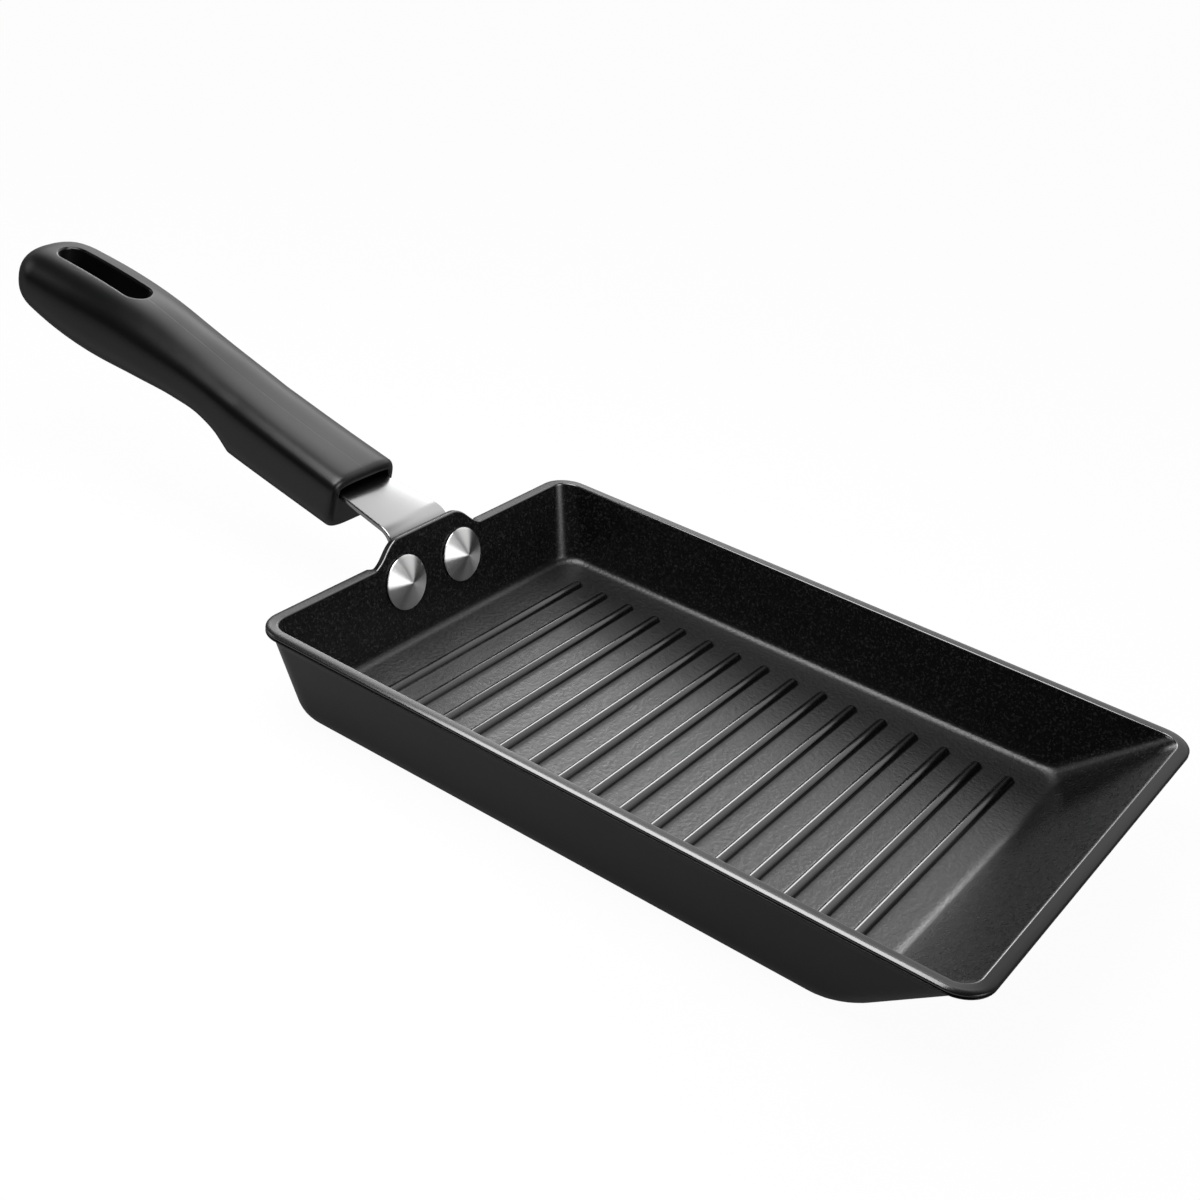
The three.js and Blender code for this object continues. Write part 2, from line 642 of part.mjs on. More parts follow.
// Assembly
const handleWall = new THREE.Group();
handleWall.position.set(rimStart, 0, PAN_HEIGHT);
handleWall.rotation.y = -handleLean;
Object.entries(rivetPlaces).forEach(([name, y]) => {
  const mesh = piece(name, rivet(), spunSteel);
  mesh.position.set(0, y, -RIVET_DROP);
  handleWall.add(mesh);
});

const handle = new THREE.Group();
handle.position.set(mouth.x, 0, mouth.y);
handle.rotation.y = HANDLE_TILT;
handle.add(piece('handle_grip', grip(), blackMoulding));
[['grip_screw', screw()], ['screw_washer', washer()], ['tongue_nut', nut()]].forEach(([name, geometry]) => {
  const mesh = piece(name, geometry, platedSteel);
  mesh.position.x = -SCREW_STATION;
  handle.add(mesh);
});

const grillPan = new THREE.Group();
grillPan.add(piece('pan_body', panBody(), castCoating));
grillPan.add(piece('handle_bracket', bracket(), polishedSteel));
grillPan.add(handleWall, handle);

export default grillPan;
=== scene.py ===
"""Grill pan: fine surfaces and finishes for the ribbed tray, the riveted strap and the moulded grip.

Every piece is a numpy surface in metres, in the frame of the solid model: +Z up, handle towards -X.
"""
import math

import bmesh
import bpy
import numpy as np
from bpy.props import FloatProperty, FloatVectorProperty, PointerProperty
from mathutils import Matrix, Vector


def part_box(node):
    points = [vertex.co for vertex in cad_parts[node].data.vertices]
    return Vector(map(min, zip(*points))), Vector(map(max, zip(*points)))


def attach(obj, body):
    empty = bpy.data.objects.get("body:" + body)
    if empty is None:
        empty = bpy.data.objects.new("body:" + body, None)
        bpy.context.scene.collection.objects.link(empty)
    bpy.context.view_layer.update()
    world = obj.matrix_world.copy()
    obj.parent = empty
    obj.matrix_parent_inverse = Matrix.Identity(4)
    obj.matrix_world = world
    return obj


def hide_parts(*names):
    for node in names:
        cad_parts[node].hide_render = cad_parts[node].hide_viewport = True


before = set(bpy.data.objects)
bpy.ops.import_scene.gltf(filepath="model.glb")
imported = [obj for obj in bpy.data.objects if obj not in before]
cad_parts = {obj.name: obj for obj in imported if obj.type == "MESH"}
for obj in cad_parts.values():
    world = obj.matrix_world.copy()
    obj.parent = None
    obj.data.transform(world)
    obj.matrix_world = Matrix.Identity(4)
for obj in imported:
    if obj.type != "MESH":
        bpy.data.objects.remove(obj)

bl_info = {
    "name": "Grill Pan",
    "version": (1, 0, 0),
    "blender": (4, 5, 0),
    "location": "3D View > Sidebar > Grill Pan",
    "description": "Builds the finished surfaces of a cast grill pan over its solid model",
    "category": "Add Mesh",
}

MM = 0.001
QUARTER = math.pi / 2
# Points closer together than this are one point
WELD = 1e-7
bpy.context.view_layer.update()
PAN_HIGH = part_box("pan_body")[1]


# Properties: sizes are written in millimetres and held in metres

def length(name, description, millimetres):
    return FloatProperty(name=name, description=description, default=millimetres * MM,
                         unit="LENGTH", precision=4)


def lengths(name, description, millimetres):
    return FloatVectorProperty(name=name, description=description, size=len(millimetres),
                               default=[value * MM for value in millimetres], unit="LENGTH", precision=4)


def numbers(name, description, values):
    return FloatVectorProperty(name=name, description=description, size=len(values), default=values)


def number(name, description, value):
    return FloatProperty(name=name, description=description, default=value)


def angle(name, description, degrees):
    return FloatProperty(name=name, description=description, default=math.radians(degrees), unit="ROTATION")


def colour(name, description, level):
    return FloatVectorProperty(name=name, description=description, size=3, default=level,
                               min=0, max=1, subtype="COLOR")


class TraySizes(bpy.types.PropertyGroup):
    """The cast tray, its rim and the tab behind the rivets"""
    rim_length: length("Rim length", "Outside length of the rim", 234)
    height: length("Height", "Rim above the underside", 29.4)
    base: length("Base", "Thickness of the floor", 3)
    wall: length("Wall", "Thickness of the walls", 2.4)
    handle_run: length("Handle wall run", "How far the handle wall leans out", 7.7)
    front_run: length("Front wall run", "How far the front wall leans out", 29.5)
    side_run: length("Side wall run", "How far the side walls lean out", 3.3)
    rim_corner: length("Rim corner", "Inner corner radius at the rim", 6)
    floor_corner: length("Floor corner", "Inner corner radius at the floor", 9)
    base_corner: length("Base corner", "Outer corner radius at the underside", 14)
    floor_fillet: length("Floor fillet", "Fillet between floor and walls", 2.6)
    front_floor_fillet: length("Front floor fillet", "Fillet between floor and front wall", 6)
    base_fillet: length("Base fillet", "Fillet under the walls", 8)
    front_base_fillet: length("Front base fillet", "Fillet under the front wall", 26)
    lip_width: length("Lip width", "Width of the rim's top", 3.7)
    lip_thickness: length("Lip thickness", "Height of the rim's edge", 2)
    lip_round: length("Lip rounding", "Rounding of the rim's inner edge", 0.6)
    lip_crown: length("Lip crown", "Width over which the rim's top curves down", 2)
    lip_drop: length("Lip drop", "How far the rim's top curves down", 0.8)
    bead_round: length("Bead rounding", "Rounding of the bead under the groove", 0.22)
    groove_depth: length("Groove depth", "Depth of the line round the rim", 0.5)
    groove_height: length("Groove height", "Height of the line round the rim", 0.45)
    tab_rise: length("Tab rise", "Tab above the rim, along the wall", 7.3)
    tab_foot: length("Tab foot", "Half width of the tab at the rim", 23.95)
    tab_top: length("Tab top", "Half width of the tab at its top", 16)
    tab_softness: number("Tab softness", "Rounding of the tab's outline, as a share of its slope", 0.4)
    lip_runout: length("Lip run-out", "Length over which the lip fades beside the tab", 2.4)


class RibSizes(bpy.types.PropertyGroup):
    """The grill ribs across the floor"""
    pitch: length("Pitch", "Distance from rib to rib", 10.85)
    radius: length("Radius", "Radius of a rib's round top", 1.9)
    sink: length("Sink", "Centre of the round top below the floor", 0.2)
    foot: length("Foot", "Fillet between rib and floor", 0.35)
    handle_margin: length("Handle margin", "First rib from the handle wall", 14.8)
    front_margin: length("Front margin", "Least distance from the last rib to the front wall", 8)
    side_margin: length("Side margin", "Rib ends from the side walls", 12.5)


class RivetSizes(bpy.types.PropertyGroup):
    """The two rivets through the handle wall"""
    spacing: length("Spacing", "Distance between the rivets", 27.3)
    drop: length("Drop", "Rivets below the rim, along the wall", 7.6)
    head: length("Head", "Radius of the head", 8.9)
    edge: length("Edge", "Height of the head's edge", 0.6)
    dome: length("Dome", "Rise of the head above its edge", 2.5)
    edge_round: length("Edge rounding", "Rounding of the head's edge", 0.35)
    shank: length("Shank", "Radius of the shank", 3)
    tail: length("Tail", "Radius of the upset tail", 5.4)
    tail_height: length("Tail height", "Height of the upset tail", 2.2)


class StrapSizes(bpy.types.PropertyGroup):
    """The bent steel strap between tray and grip"""
    thickness: length("Thickness", "Thickness of the strap", 1.8)
    seat_gap: length("Seat gap", "Gap between seated pieces", 0.3)
    edge_round: length("Edge rounding", "Rounding of the strap's edges", 0.5)
    plate_margin: length("Plate margin", "Plate round the rivets", 8)
    plate_round: length("Plate corners", "Corner radius of the plate", 6)
    neck_width: length("Neck width", "Width at the bend", 28)
    shoulder: length("Shoulder", "Length over which the plate narrows", 10)
    bend_rise: length("Bend rise", "Bend above the rim, along the wall", 7.4)
    bend_radius: length("Bend radius", "Radius of the bend's middle line", 7)
    tilt: angle("Tilt", "Rise of the handle", 9)
    exposed: length("Exposed length", "From the bend's corner to the grip's mouth", 24)
    tongue_width: length("Tongue width", "Width of the tongue in the grip", 22)
    tongue_length: length("Tongue length", "Length of the tongue in the grip", 42)
    tongue_round: length("Tongue corners", "Corner radius of the tongue's end", 5)


class GripSizes(bpy.types.PropertyGroup):
    """The moulded grip, with lines at places from its mouth to its tip"""
    length: length("Length", "From the mouth to the tip", 162.5)
    top_places: numbers("Top places", "Shares of the length", (0, 0.18, 0.34, 0.51, 0.66, 0.79, 0.91, 1))
    top: lengths("Top", "Top line above the tongue", (6.8, 8.7, 11.2, 15, 17.9, 18, 17, 15.8))
    width_places: numbers("Width places", "Shares of the length", (0, 0.25, 0.43, 0.62, 0.8, 1))
    half_width: lengths("Half width", "Half width of the section", (15, 14.5, 14.2, 16, 17.5, 17))
    square_places: numbers("Squareness places", "Shares of the length", (0, 0.3, 0.47, 0.8, 1))
    square: numbers("Squareness", "Power of the section's curve", (4.6, 4.2, 3.2, 2.7, 2.4))
    block: length("Block length", "Length of the block under the mouth", 49)
    block_depth: length("Block depth", "Block below the tongue at the mouth", 12.6)
    groove_places: numbers("Groove places", "Shares of the rest", (0, 0.06, 0.13, 0.25, 0.41, 0.6, 0.78, 1))
    groove: lengths("Groove", "Underside below the tongue", (11.2, 7.1, 4.9, 4.9, 6.6, 8.4, 7.6, 3))
    tip_plan: length("Tip in plan", "Rounding of the tip from above", 15)
    tip_side: length("Tip from the side", "Rounding of the tip from the side", 10)
    mouth_round: length("Mouth rounding", "Rounding of the mouth's edge", 2.2)
    socket_room: length("Socket room", "Room beside the tongue", 0.7)
    socket_floor: length("Socket floor", "Socket below the tongue's middle", 1.2)
    socket_arch: length("Socket arch", "Socket above the tongue's middle", 3.7)
    socket_round: length("Socket edge", "Rounding of the socket's edge", 0.4)
    slot_margin: length("Slot margin", "Hanging slot from the tip", 12.8)
    slot_length: length("Slot length", "Length of the hanging slot", 42.5)
    slot_width: length("Slot width", "Width of the hanging slot", 10)
    slot_round: length("Slot rounding", "Rounding of the slot's edges", 0.9)
    screw_station: length("Screw place", "Screw from the mouth", 26)
    bore: length("Bore", "Radius of the screw's counterbore", 4.8)
    bore_floor: length("Bore floor", "Counterbore's end below the tongue", 5.4)
    bore_round: length("Bore rounding", "Rounding of the counterbore's edge", 0.4)


class FinishColours(bpy.types.PropertyGroup):
    """Base colours of the finishes"""
    coating: colour("Coating", "Non-stick coating inside", (0.003, 0.003, 0.0032))
    enamel: colour("Outside", "Satin coating outside and on the rim", (0.004, 0.004, 0.0042))
    fleck: colour("Fleck", "Pale flecks in the coating", (0.028, 0.028, 0.03))
    steel: colour("Steel", "Polished strap", (0.41, 0.41, 0.415))
    rivet: colour("Rivet", "Spun rivet heads", (0.93, 0.925, 0.92))
    moulding: colour("Moulding", "Black moulded grip", (0.0018, 0.0018, 0.0019))
    zinc: colour("Zinc", "Plated screw, washer and nut", (0.62, 0.63, 0.65))


class StageSettings(bpy.types.PropertyGroup):
    """Camera and light"""
    azimuth: angle("Azimuth", "Camera's turn from looking along +Y", 32.52)
    elevation: angle("Elevation", "Camera's height angle", 29.40)
    roll: angle("Roll", "Camera's turn about its own axis", 7.10)
    place: lengths("Place", "Camera's place", (213.6, -386.8, 295.9))
    lens: number("Lens", "Focal length in millimetres on a 36 mm sensor", 52.48)
    ambient: number("Ambient", "Even light all round, where 1 is white", 0.03)
    back_light: number("Back light", "Wide light behind the pan", 1.3)
    low_strip: number("Low strip", "Narrow light low behind the handle, for the ribs' edges", 7.5)
    overhead: number("Overhead", "Brightness of the lamp above the pan, where 1 is white", 5.0)
    overhead_place: lengths("Overhead place", "Middle of the strip lamp", (-92, -85, 350))
    overhead_size: lengths("Overhead size", "Length and width of the strip lamp", (290, 330))
    right_light: number("Right light", "Light beyond the pan's front, for the rivets", 4.2)
    left_light: number("Left light", "Faint light beyond the handle, for the grip's tip", 0.8)


# Surfaces

def grid_faces(rows, columns):
    """Quads between neighbouring points of a grid, row by row."""
    first = np.arange((rows - 1) * columns).reshape(rows - 1, columns)[:, :-1].ravel()
    return np.stack([first, first + 1, first + columns + 1, first + columns], axis=-1)


def closed(loop):
    """A grid whose columns go once round, with the first column repeated at the end."""
    return np.concatenate([loop, loop[:, :1]], axis=1)


def make_piece(name, patches, values=None, uv=None):
    """One welded mesh from grids of points, with a value and a UV place for each point where given.

    Each grid becomes quads, and points that lie on each other are welded, which closes seams and poles.
    """
    starts = np.cumsum([0] + [patch.shape[0] * patch.shape[1] for patch in patches])
    points = np.concatenate([patch.reshape(-1, 3) for patch in patches])
    faces = np.concatenate([grid_faces(*patch.shape[:2]) + start for patch, start in zip(patches, starts)])
    mesh = bpy.data.meshes.new(name)
    mesh.from_pydata(points.tolist(), [], faces.tolist())
    for label, grids in (values or {}).items():
        layer = mesh.attributes.new(label, "FLOAT", "POINT")
        layer.data.foreach_set("value", np.concatenate([grid.ravel() for grid in grids]).astype(np.float32))
    if uv is not None:
        corners = np.empty(len(mesh.loops), dtype=np.int32)
        mesh.loops.foreach_get("vertex_index", corners)
        flat = np.concatenate([grid.reshape(-1, 2) for grid in uv])
        mesh.uv_layers.new(name="UVMap").data.foreach_set("uv", flat[corners].astype(np.float32).ravel())
    shell = bmesh.new()
    shell.from_mesh(mesh)
    bmesh.ops.remove_doubles(shell, verts=shell.verts, dist=WELD)
    bmesh.ops.recalc_face_normals(shell, faces=shell.faces)
    shell.to_mesh(mesh)
    shell.free()
    mesh.polygons.foreach_set("use_smooth", np.ones(len(mesh.polygons), dtype=bool))
    piece = bpy.data.objects.new(name, mesh)
    bpy.context.scene.collection.objects.link(piece)
    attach(piece, "root")
    return piece


def turn_steps(first, last, steps):
    """Cosines and sines of equal steps between two angles in degrees."""
    turn = np.radians(np.linspace(first, last, steps + 1))
    return np.cos(turn), np.sin(turn)


def rounded_edge(radius, steps):
    """Growth and sinking of an outline over a rounded edge: a quarter circle."""
    cosine, sine = turn_steps(0, 90, steps)
    return radius * (1 - sine), radius * (1 - cosine)


def smooth_line(places, sizes, at):
    """Cubic through sizes at places, with each slope taken from the neighbours on both sides."""
    places = np.asarray(places)
    sizes = np.asarray(sizes)
    slopes = np.gradient(sizes, places)
    at = np.clip(at, places[0], places[-1])
    low = np.clip(np.searchsorted(places, at, side="right") - 1, 0, len(places) - 2)
    step = places[low + 1] - places[low]
    share = (at - places[low]) / step
    rest = 1 - share
    return (rest ** 2 * (sizes[low] * (1 + 2 * share) + slopes[low] * step * share)
            + share ** 2 * (sizes[low + 1] * (3 - 2 * share) - slopes[low + 1] * step * rest))


def ease(share):
    """Smooth step of a share held between 0 and 1: three times its square less twice its cube."""
    share = np.clip(share, 0, 1)
    return share ** 2 * (3 - 2 * share)


# Tray

ROUND_STEPS = 8
GROOVE_STEPS = 3
BASE_FILLET_STEPS = 12
FLOOR_FILLET_STEPS = 14
OUTER_WALL_ROWS = 8
INNER_WALL_ROWS = 10
# Rows just under the rim's inner edge, as shares of its rounding
UNDER_EDGE = np.array([0.1, 0.4])
# Rings between a rib's foot and the edge of its cell, as shares of the way
FLOOR_SHARES = np.array([0.12, 0.4, 1.0])
# Gloss of the bead under the rim, and how steeply gloss comes in over an edge or up a rib
BEAD_GLOSS = 0.3
GLOSS_SLOPE = 3


def fillet_run(lean, fillet):
    """Length that a fillet takes from the floor before a wall leaning out."""
    return fillet * math.tan((QUARTER - lean) / 2)


def wall_reach(height, lean, fillet):
    """Distance from the sharp floor corner to the wall: the fillet's arc low down, the leaning line above."""
    low = np.minimum(height, fillet)
    arc = np.sqrt(fillet ** 2 - (fillet - low) ** 2) - fillet_run(lean, fillet)
    return np.where(height < fillet * (1 - math.sin(lean)), arc, height * math.tan(lean))


class TrayPlan:
    """Places of the tray's walls, floor and rim, worked out from its sizes.

    A ring is a rounded rectangle: start, end, half width and corner radius, then its heights at the
    start, at the end and at the sides.
    """

    def __init__(self, sizes):
        self.sizes = sizes
        self.depth = sizes.height - sizes.base
        self.underside = sizes.height - sizes.lip_thickness
        self.handle_lean = math.atan(sizes.handle_run / self.depth)
        self.front_lean = math.atan(sizes.front_run / self.depth)
        self.side_lean = math.atan(sizes.side_run / self.depth)
        self.rim_end = PAN_HIGH.x - sizes.lip_width
        self.rim_start = self.rim_end - sizes.rim_length + 2 * sizes.lip_width
        self.rim_half = PAN_HIGH.y - sizes.lip_width
        self.floor_start = self.rim_start + sizes.handle_run
        self.floor_end = self.rim_end - sizes.front_run
        self.floor_half = self.rim_half - sizes.side_run

    def offset(self, lean):
        """Sharp outer corner at the underside, outside the sharp inner corner at the floor."""
        return self.sizes.wall / math.cos(lean) - self.sizes.base * math.tan(lean)

    def corner(self, low, high, share, side, height):
        """Corner radius at a share of the height, less what a fillet draws the side wall in."""
        return low + (high - low) * share + side - height * math.tan(self.side_lean)

    def inner(self, height):
        """Rings up the inside from the floor."""
        sizes = self.sizes
        side = wall_reach(height, self.side_lean, sizes.floor_fillet)
        radius = self.corner(sizes.floor_corner, sizes.rim_corner, height / self.depth, side, height)
        start = self.floor_start - wall_reach(height, self.handle_lean, sizes.floor_fillet)
        end = self.floor_end + wall_reach(height, self.front_lean, sizes.front_floor_fillet)
        return level_ring(start, end, self.floor_half + side, radius, sizes.base + height)

    def outer(self, height):
        """Rings up the outside from the underside."""
        sizes = self.sizes
        side = wall_reach(height, self.side_lean, sizes.base_fillet)
        radius = self.corner(sizes.base_corner, sizes.rim_corner + sizes.wall, height / self.underside,
                             side, height)
        start = (self.floor_start - self.offset(self.handle_lean)
                 - wall_reach(height, self.handle_lean, sizes.base_fillet))
        end = (self.floor_end + self.offset(self.front_lean)
               + wall_reach(height, self.front_lean, sizes.front_base_fillet))
        half = self.floor_half + self.offset(self.side_lean) + side
        return level_ring(start, end, half, radius, height)

    def rim(self, out, height):
        """Rings grown from the rim's inner edge."""
        return level_ring(self.rim_start - out, self.rim_end + out, self.rim_half + out,
                          self.sizes.rim_corner + out, height)

    def rim_edge(self, steps):
        """Rings over the rim's inner edge: on each side an arc from the level top to the leaning wall."""
        radius = self.sizes.lip_round

        def arc(lean):
            turn = np.linspace(QUARTER, math.pi - lean, steps + 1)
            out = fillet_run(lean, radius) + radius * np.cos(turn)
            return out, self.sizes.height - radius + radius * np.sin(turn)

        start, start_height = arc(self.handle_lean)
        end, end_height = arc(self.front_lean)
        side, side_height = arc(self.side_lean)
        return np.stack([self.rim_start - start, self.rim_end + end, self.rim_half + side,
                         self.sizes.rim_corner + side, start_height, end_height, side_height], axis=-1)

    def on_handle_wall(self, out, y, up):
        """Points behind the inner face of the handle wall, and up along it from the rim's inner edge."""
        lean = self.handle_lean
        x = self.rim_start - out * math.cos(lean) - up * math.sin(lean)
        z = self.sizes.height - out * math.sin(lean) + up * math.cos(lean)
        return np.stack(np.broadcast_arrays(x, y, z), axis=-1)

    def tab(self, y):
        """Height of the tab along the rim: a slope cut off level, with both bends rounded by parabolas."""
        sizes = self.sizes
        slope = (sizes.tab_foot - np.abs(y)) / (sizes.tab_foot - sizes.tab_top)
        soft = sizes.tab_softness

        def bend(share):
            return np.where(share > soft, share, np.maximum(share + soft, 0) ** 2 / (4 * soft))

        return sizes.tab_rise * (bend(slope) - bend(slope - 1))


def level_ring(start, end, half, radius, height):
    """Rings that keep one height all round."""
    return np.stack(np.broadcast_arrays(start, end, half, radius, height, height, height), axis=-1)


def split_corners(points, ring):
    """Core place and outward way of points in a rectangle, so that core plus radius times way rounds it.

    The core is the rectangle less the corner radius. In a corner square the way goes over to a quarter
    disc: each coordinate is shortened by the root of one less half the other's square.
    """
    start, end, half, radius = ring[:4]
    middle = np.array([(start + end) / 2, 0])
    size = np.array([(end - start) / 2 - radius, half - radius])
    core = np.clip((points - middle) / size, -1, 1)
    way = (points - middle - core * size) / radius
    return core, way * np.sqrt(1 - way[..., ::-1] ** 2 / 2)


def plan_places(ring, core, way):
    """Places in plan: a place on the core rectangle plus the corner radius along the way."""
    start, end, half, radius = ring[:4]
    x = (start + end) / 2 + core[..., 0] * ((end - start) / 2 - radius) + radius * way[..., 0]
    y = core[..., 1] * (half - radius) + radius * way[..., 1]
    return x, y


def ring_points(rings, core, way):
    """Points of rounded rectangles, one row for each ring.

    Round a corner the height goes over from one side's to the other's with the squares of the way.
    """
    columns = rings.T[:, :, None]
    start_height, end_height, side_height = columns[4:]
    x, y = plan_places(columns, core, way)
    ends = np.where(way[..., 0] < 0, start_height, end_height)
    return np.stack([x, y, side_height + (ends - side_height) * way[..., 0] ** 2], axis=-1)


def rib_profile(sizes, top_steps=8, foot_steps=4):
    """Distance from the rib's middle and height above the floor: a round top, then a foot fillet.

    The fillet's circle touches the floor and the round top, so its centre lies one radius up, and both
    radii away from the top's centre.
    """
    away = math.sqrt((sizes.radius + sizes.foot) ** 2 - (sizes.foot + sizes.sink) ** 2)
    touch = math.degrees(math.atan2(away, sizes.foot + sizes.sink))
    cosine, sine = turn_steps(0, touch, top_steps)
    foot_cosine, foot_sine = turn_steps(touch, 0, foot_steps)
    out = np.concatenate([sizes.radius * sine, (away - sizes.foot * foot_sine)[1:]])
    up = np.concatenate([sizes.radius * cosine - sizes.sink, (sizes.foot * (1 - foot_cosine))[1:]])
    return out, up


class FloorGrid:
    """Lines of the floor: a cell round each rib, and a strip at each end of the floor.

    The walls share these lines, so they lie close together where the tab's outline slopes.
    """

    TAB_LINES = np.arange(11, 26, 0.55) * MM
    MIDDLE_LINES = 6
    OUTER_LINES = 10
    MARGIN_LINES = 5
    CORNER_LINES = 7
    CELL_LINES = 9
    START_LINES = 9
    END_LINES = 6

    def __init__(self, plan, sizes):
        self.ring = plan.inner(np.array(0.0))
        start, end, half, corner = self.ring[:4]
        first = plan.floor_start + sizes.handle_margin
        room = plan.floor_end - sizes.front_margin - first
        self.centres = first + sizes.pitch * np.arange(int(room / sizes.pitch + WELD) + 1)
        self.cell = sizes.pitch / 2
        self.straight = plan.floor_half - sizes.side_margin - sizes.radius
        self.margin = half - self.straight
        tab = self.TAB_LINES
        along = np.concatenate([np.linspace(0, tab[0], self.MIDDLE_LINES)[:-1], tab,
                                np.linspace(tab[-1], self.straight, self.OUTER_LINES)[1:]])
        self.along = np.concatenate([-along[:0:-1], along])
        self.beyond = np.concatenate([np.linspace(0, self.margin - corner, self.MARGIN_LINES)[1:],
                                      np.linspace(self.margin - corner, self.margin, self.CORNER_LINES)[1:]])
        self.across = np.linspace(-self.cell, self.cell, self.CELL_LINES)
        self.y_lines = np.concatenate([-self.straight - self.beyond[::-1], self.along,
                                       self.straight + self.beyond])
        self.start_strip = np.linspace(start, self.centres[0] - self.cell, self.START_LINES)
        self.end_strip = np.linspace(self.centres[-1] + self.cell, end, self.END_LINES)
        cells = (self.centres[:, None] + self.across[None, :-1]).ravel()
        self.x_lines = np.concatenate([self.start_strip[:-1], cells, self.end_strip])

    def edge(self):
        """Once round the floor's rectangle, against the clock from its first corner."""
        start, end, half = self.ring[:3]
        x, y = self.x_lines, self.y_lines
        sides = [(x[:-1], -half), (end, y[:-1]), (x[:0:-1], half), (start, y[:0:-1])]
        return np.concatenate([np.stack(np.broadcast_arrays(*side), axis=-1) for side in sides])

    def cell_loop(self):
        """Once round a rib's cell, and the nearest points of the rib's middle line."""
        end_x = np.concatenate([np.full(len(self.beyond), self.cell), self.across[::-1][1:-1],
                                np.full(len(self.beyond), -self.cell)])
        end_y = self.straight + np.concatenate([self.beyond, np.full(len(self.across) - 2, self.margin),
                                                self.beyond[::-1]])
        x = np.concatenate([np.full(len(self.along), self.cell), end_x])
        y = np.concatenate([self.along, end_y])
        loop = np.stack([np.concatenate([x, -x]), np.concatenate([y, -y])], axis=-1)
        middle = np.stack([np.zeros(len(loop)), np.clip(loop[:, 1], -self.straight, self.straight)], axis=-1)
        return loop, middle


def tray_floor(plan, rib_sizes, grid):
    """Floor with ribs: rings grow from each rib's middle line by the rib's profile, then out to its cell."""
    out, up = rib_profile(rib_sizes)
    loop, middle = grid.cell_loop()
    way = loop - middle
    far = np.linalg.norm(way, axis=-1, keepdims=True)
    flat = out[-1] + (far - out[-1]) * FLOOR_SHARES[:, None, None]
    reach = np.concatenate([np.broadcast_to(out[:, None, None], (len(out),) + far.shape), flat])
    cell = middle + way / far * reach
    heights = plan.sizes.base + np.concatenate([up, np.zeros(len(FLOOR_SHARES))])
    patches = []
    for centre in grid.centres:
        patches.append(closed(lay_floor(cell + [centre, 0], heights[:, None], grid.ring)))
    for lines in (grid.start_strip, grid.end_strip):
        strip = np.stack(np.meshgrid(lines, grid.y_lines, indexing="ij"), axis=-1)
        patches.append(lay_floor(strip, plan.sizes.base, grid.ring))
    return patches


def lay_floor(points, height, ring):
    """Plan points drawn into the floor's rounded corners, at a height."""
    x, y = plan_places(ring, *split_corners(points, ring))
    return np.stack([x, y, np.broadcast_to(height, x.shape)], axis=-1)


def lip_profile(plan):
    """Rim from its underside to its inner edge: bead, groove, elliptic crown, rounded inner edge.

    Returns the plain rim's rings, then out, up and share of the tab's rise for the same rows on the tab, and
    each row's gloss as part of the outer and of the inner edge: a little on the bead, none in the groove.
    """
    sizes = plan.sizes
    edge, bead = sizes.lip_round, sizes.bead_round
    bead_cosine, bead_sine = turn_steps(-90, 90, ROUND_STEPS)
    low_cosine, low_sine = turn_steps(-90, 0, GROOVE_STEPS)
    top_cosine, top_sine = turn_steps(0, 90, ROUND_STEPS)
    inner_cosine, inner_sine = turn_steps(90, 180, ROUND_STEPS)
    groove_low = plan.underside + 2 * bead
    groove_high = groove_low + sizes.groove_height
    groove_out = sizes.lip_width - sizes.groove_depth
    face_out = np.concatenate([sizes.lip_width - bead + bead * bead_cosine, [groove_out, groove_out],
                               sizes.lip_width - bead + bead * low_cosine])
    face_up = np.concatenate([plan.underside + bead + bead * bead_sine, [groove_low, groove_high],
                              groove_high + bead + bead * low_sine])
    out = np.concatenate([face_out, sizes.lip_width - sizes.lip_crown * (1 - top_cosine)])
    height = np.concatenate([face_up, sizes.height - sizes.lip_drop * (1 - top_sine)])
    rings = np.concatenate([plan.rim(out, height), plan.rim_edge(ROUND_STEPS)])
    face_share = np.linspace(0, 1, len(face_out))
    rounds = np.concatenate([top_sine, inner_sine])
    underside = -sizes.lip_thickness / math.cos(plan.handle_lean)
    tab_out = np.concatenate([np.full(len(face_out), sizes.wall), sizes.wall - edge + edge * top_cosine,
                              edge + edge * inner_cosine])
    tab_up = np.concatenate([underside + (-edge - underside) * face_share, -edge + edge * rounds])
    share = np.concatenate([face_share, np.ones(len(rounds))])
    bead_gloss = np.full(len(bead_cosine), BEAD_GLOSS)
    groove_gloss = np.zeros(2)
    edges = GLOSS_SLOPE * np.concatenate([np.ones(len(low_cosine)), top_cosine, inner_cosine])
    outer_gloss = np.concatenate([bead_gloss, groove_gloss, np.clip(edges, BEAD_GLOSS, 1)])
    inner_gloss = np.concatenate([np.zeros_like(bead_gloss), groove_gloss, np.clip(-edges, 0, 1)])
    return rings, tab_out, tab_up, share, outer_gloss, inner_gloss


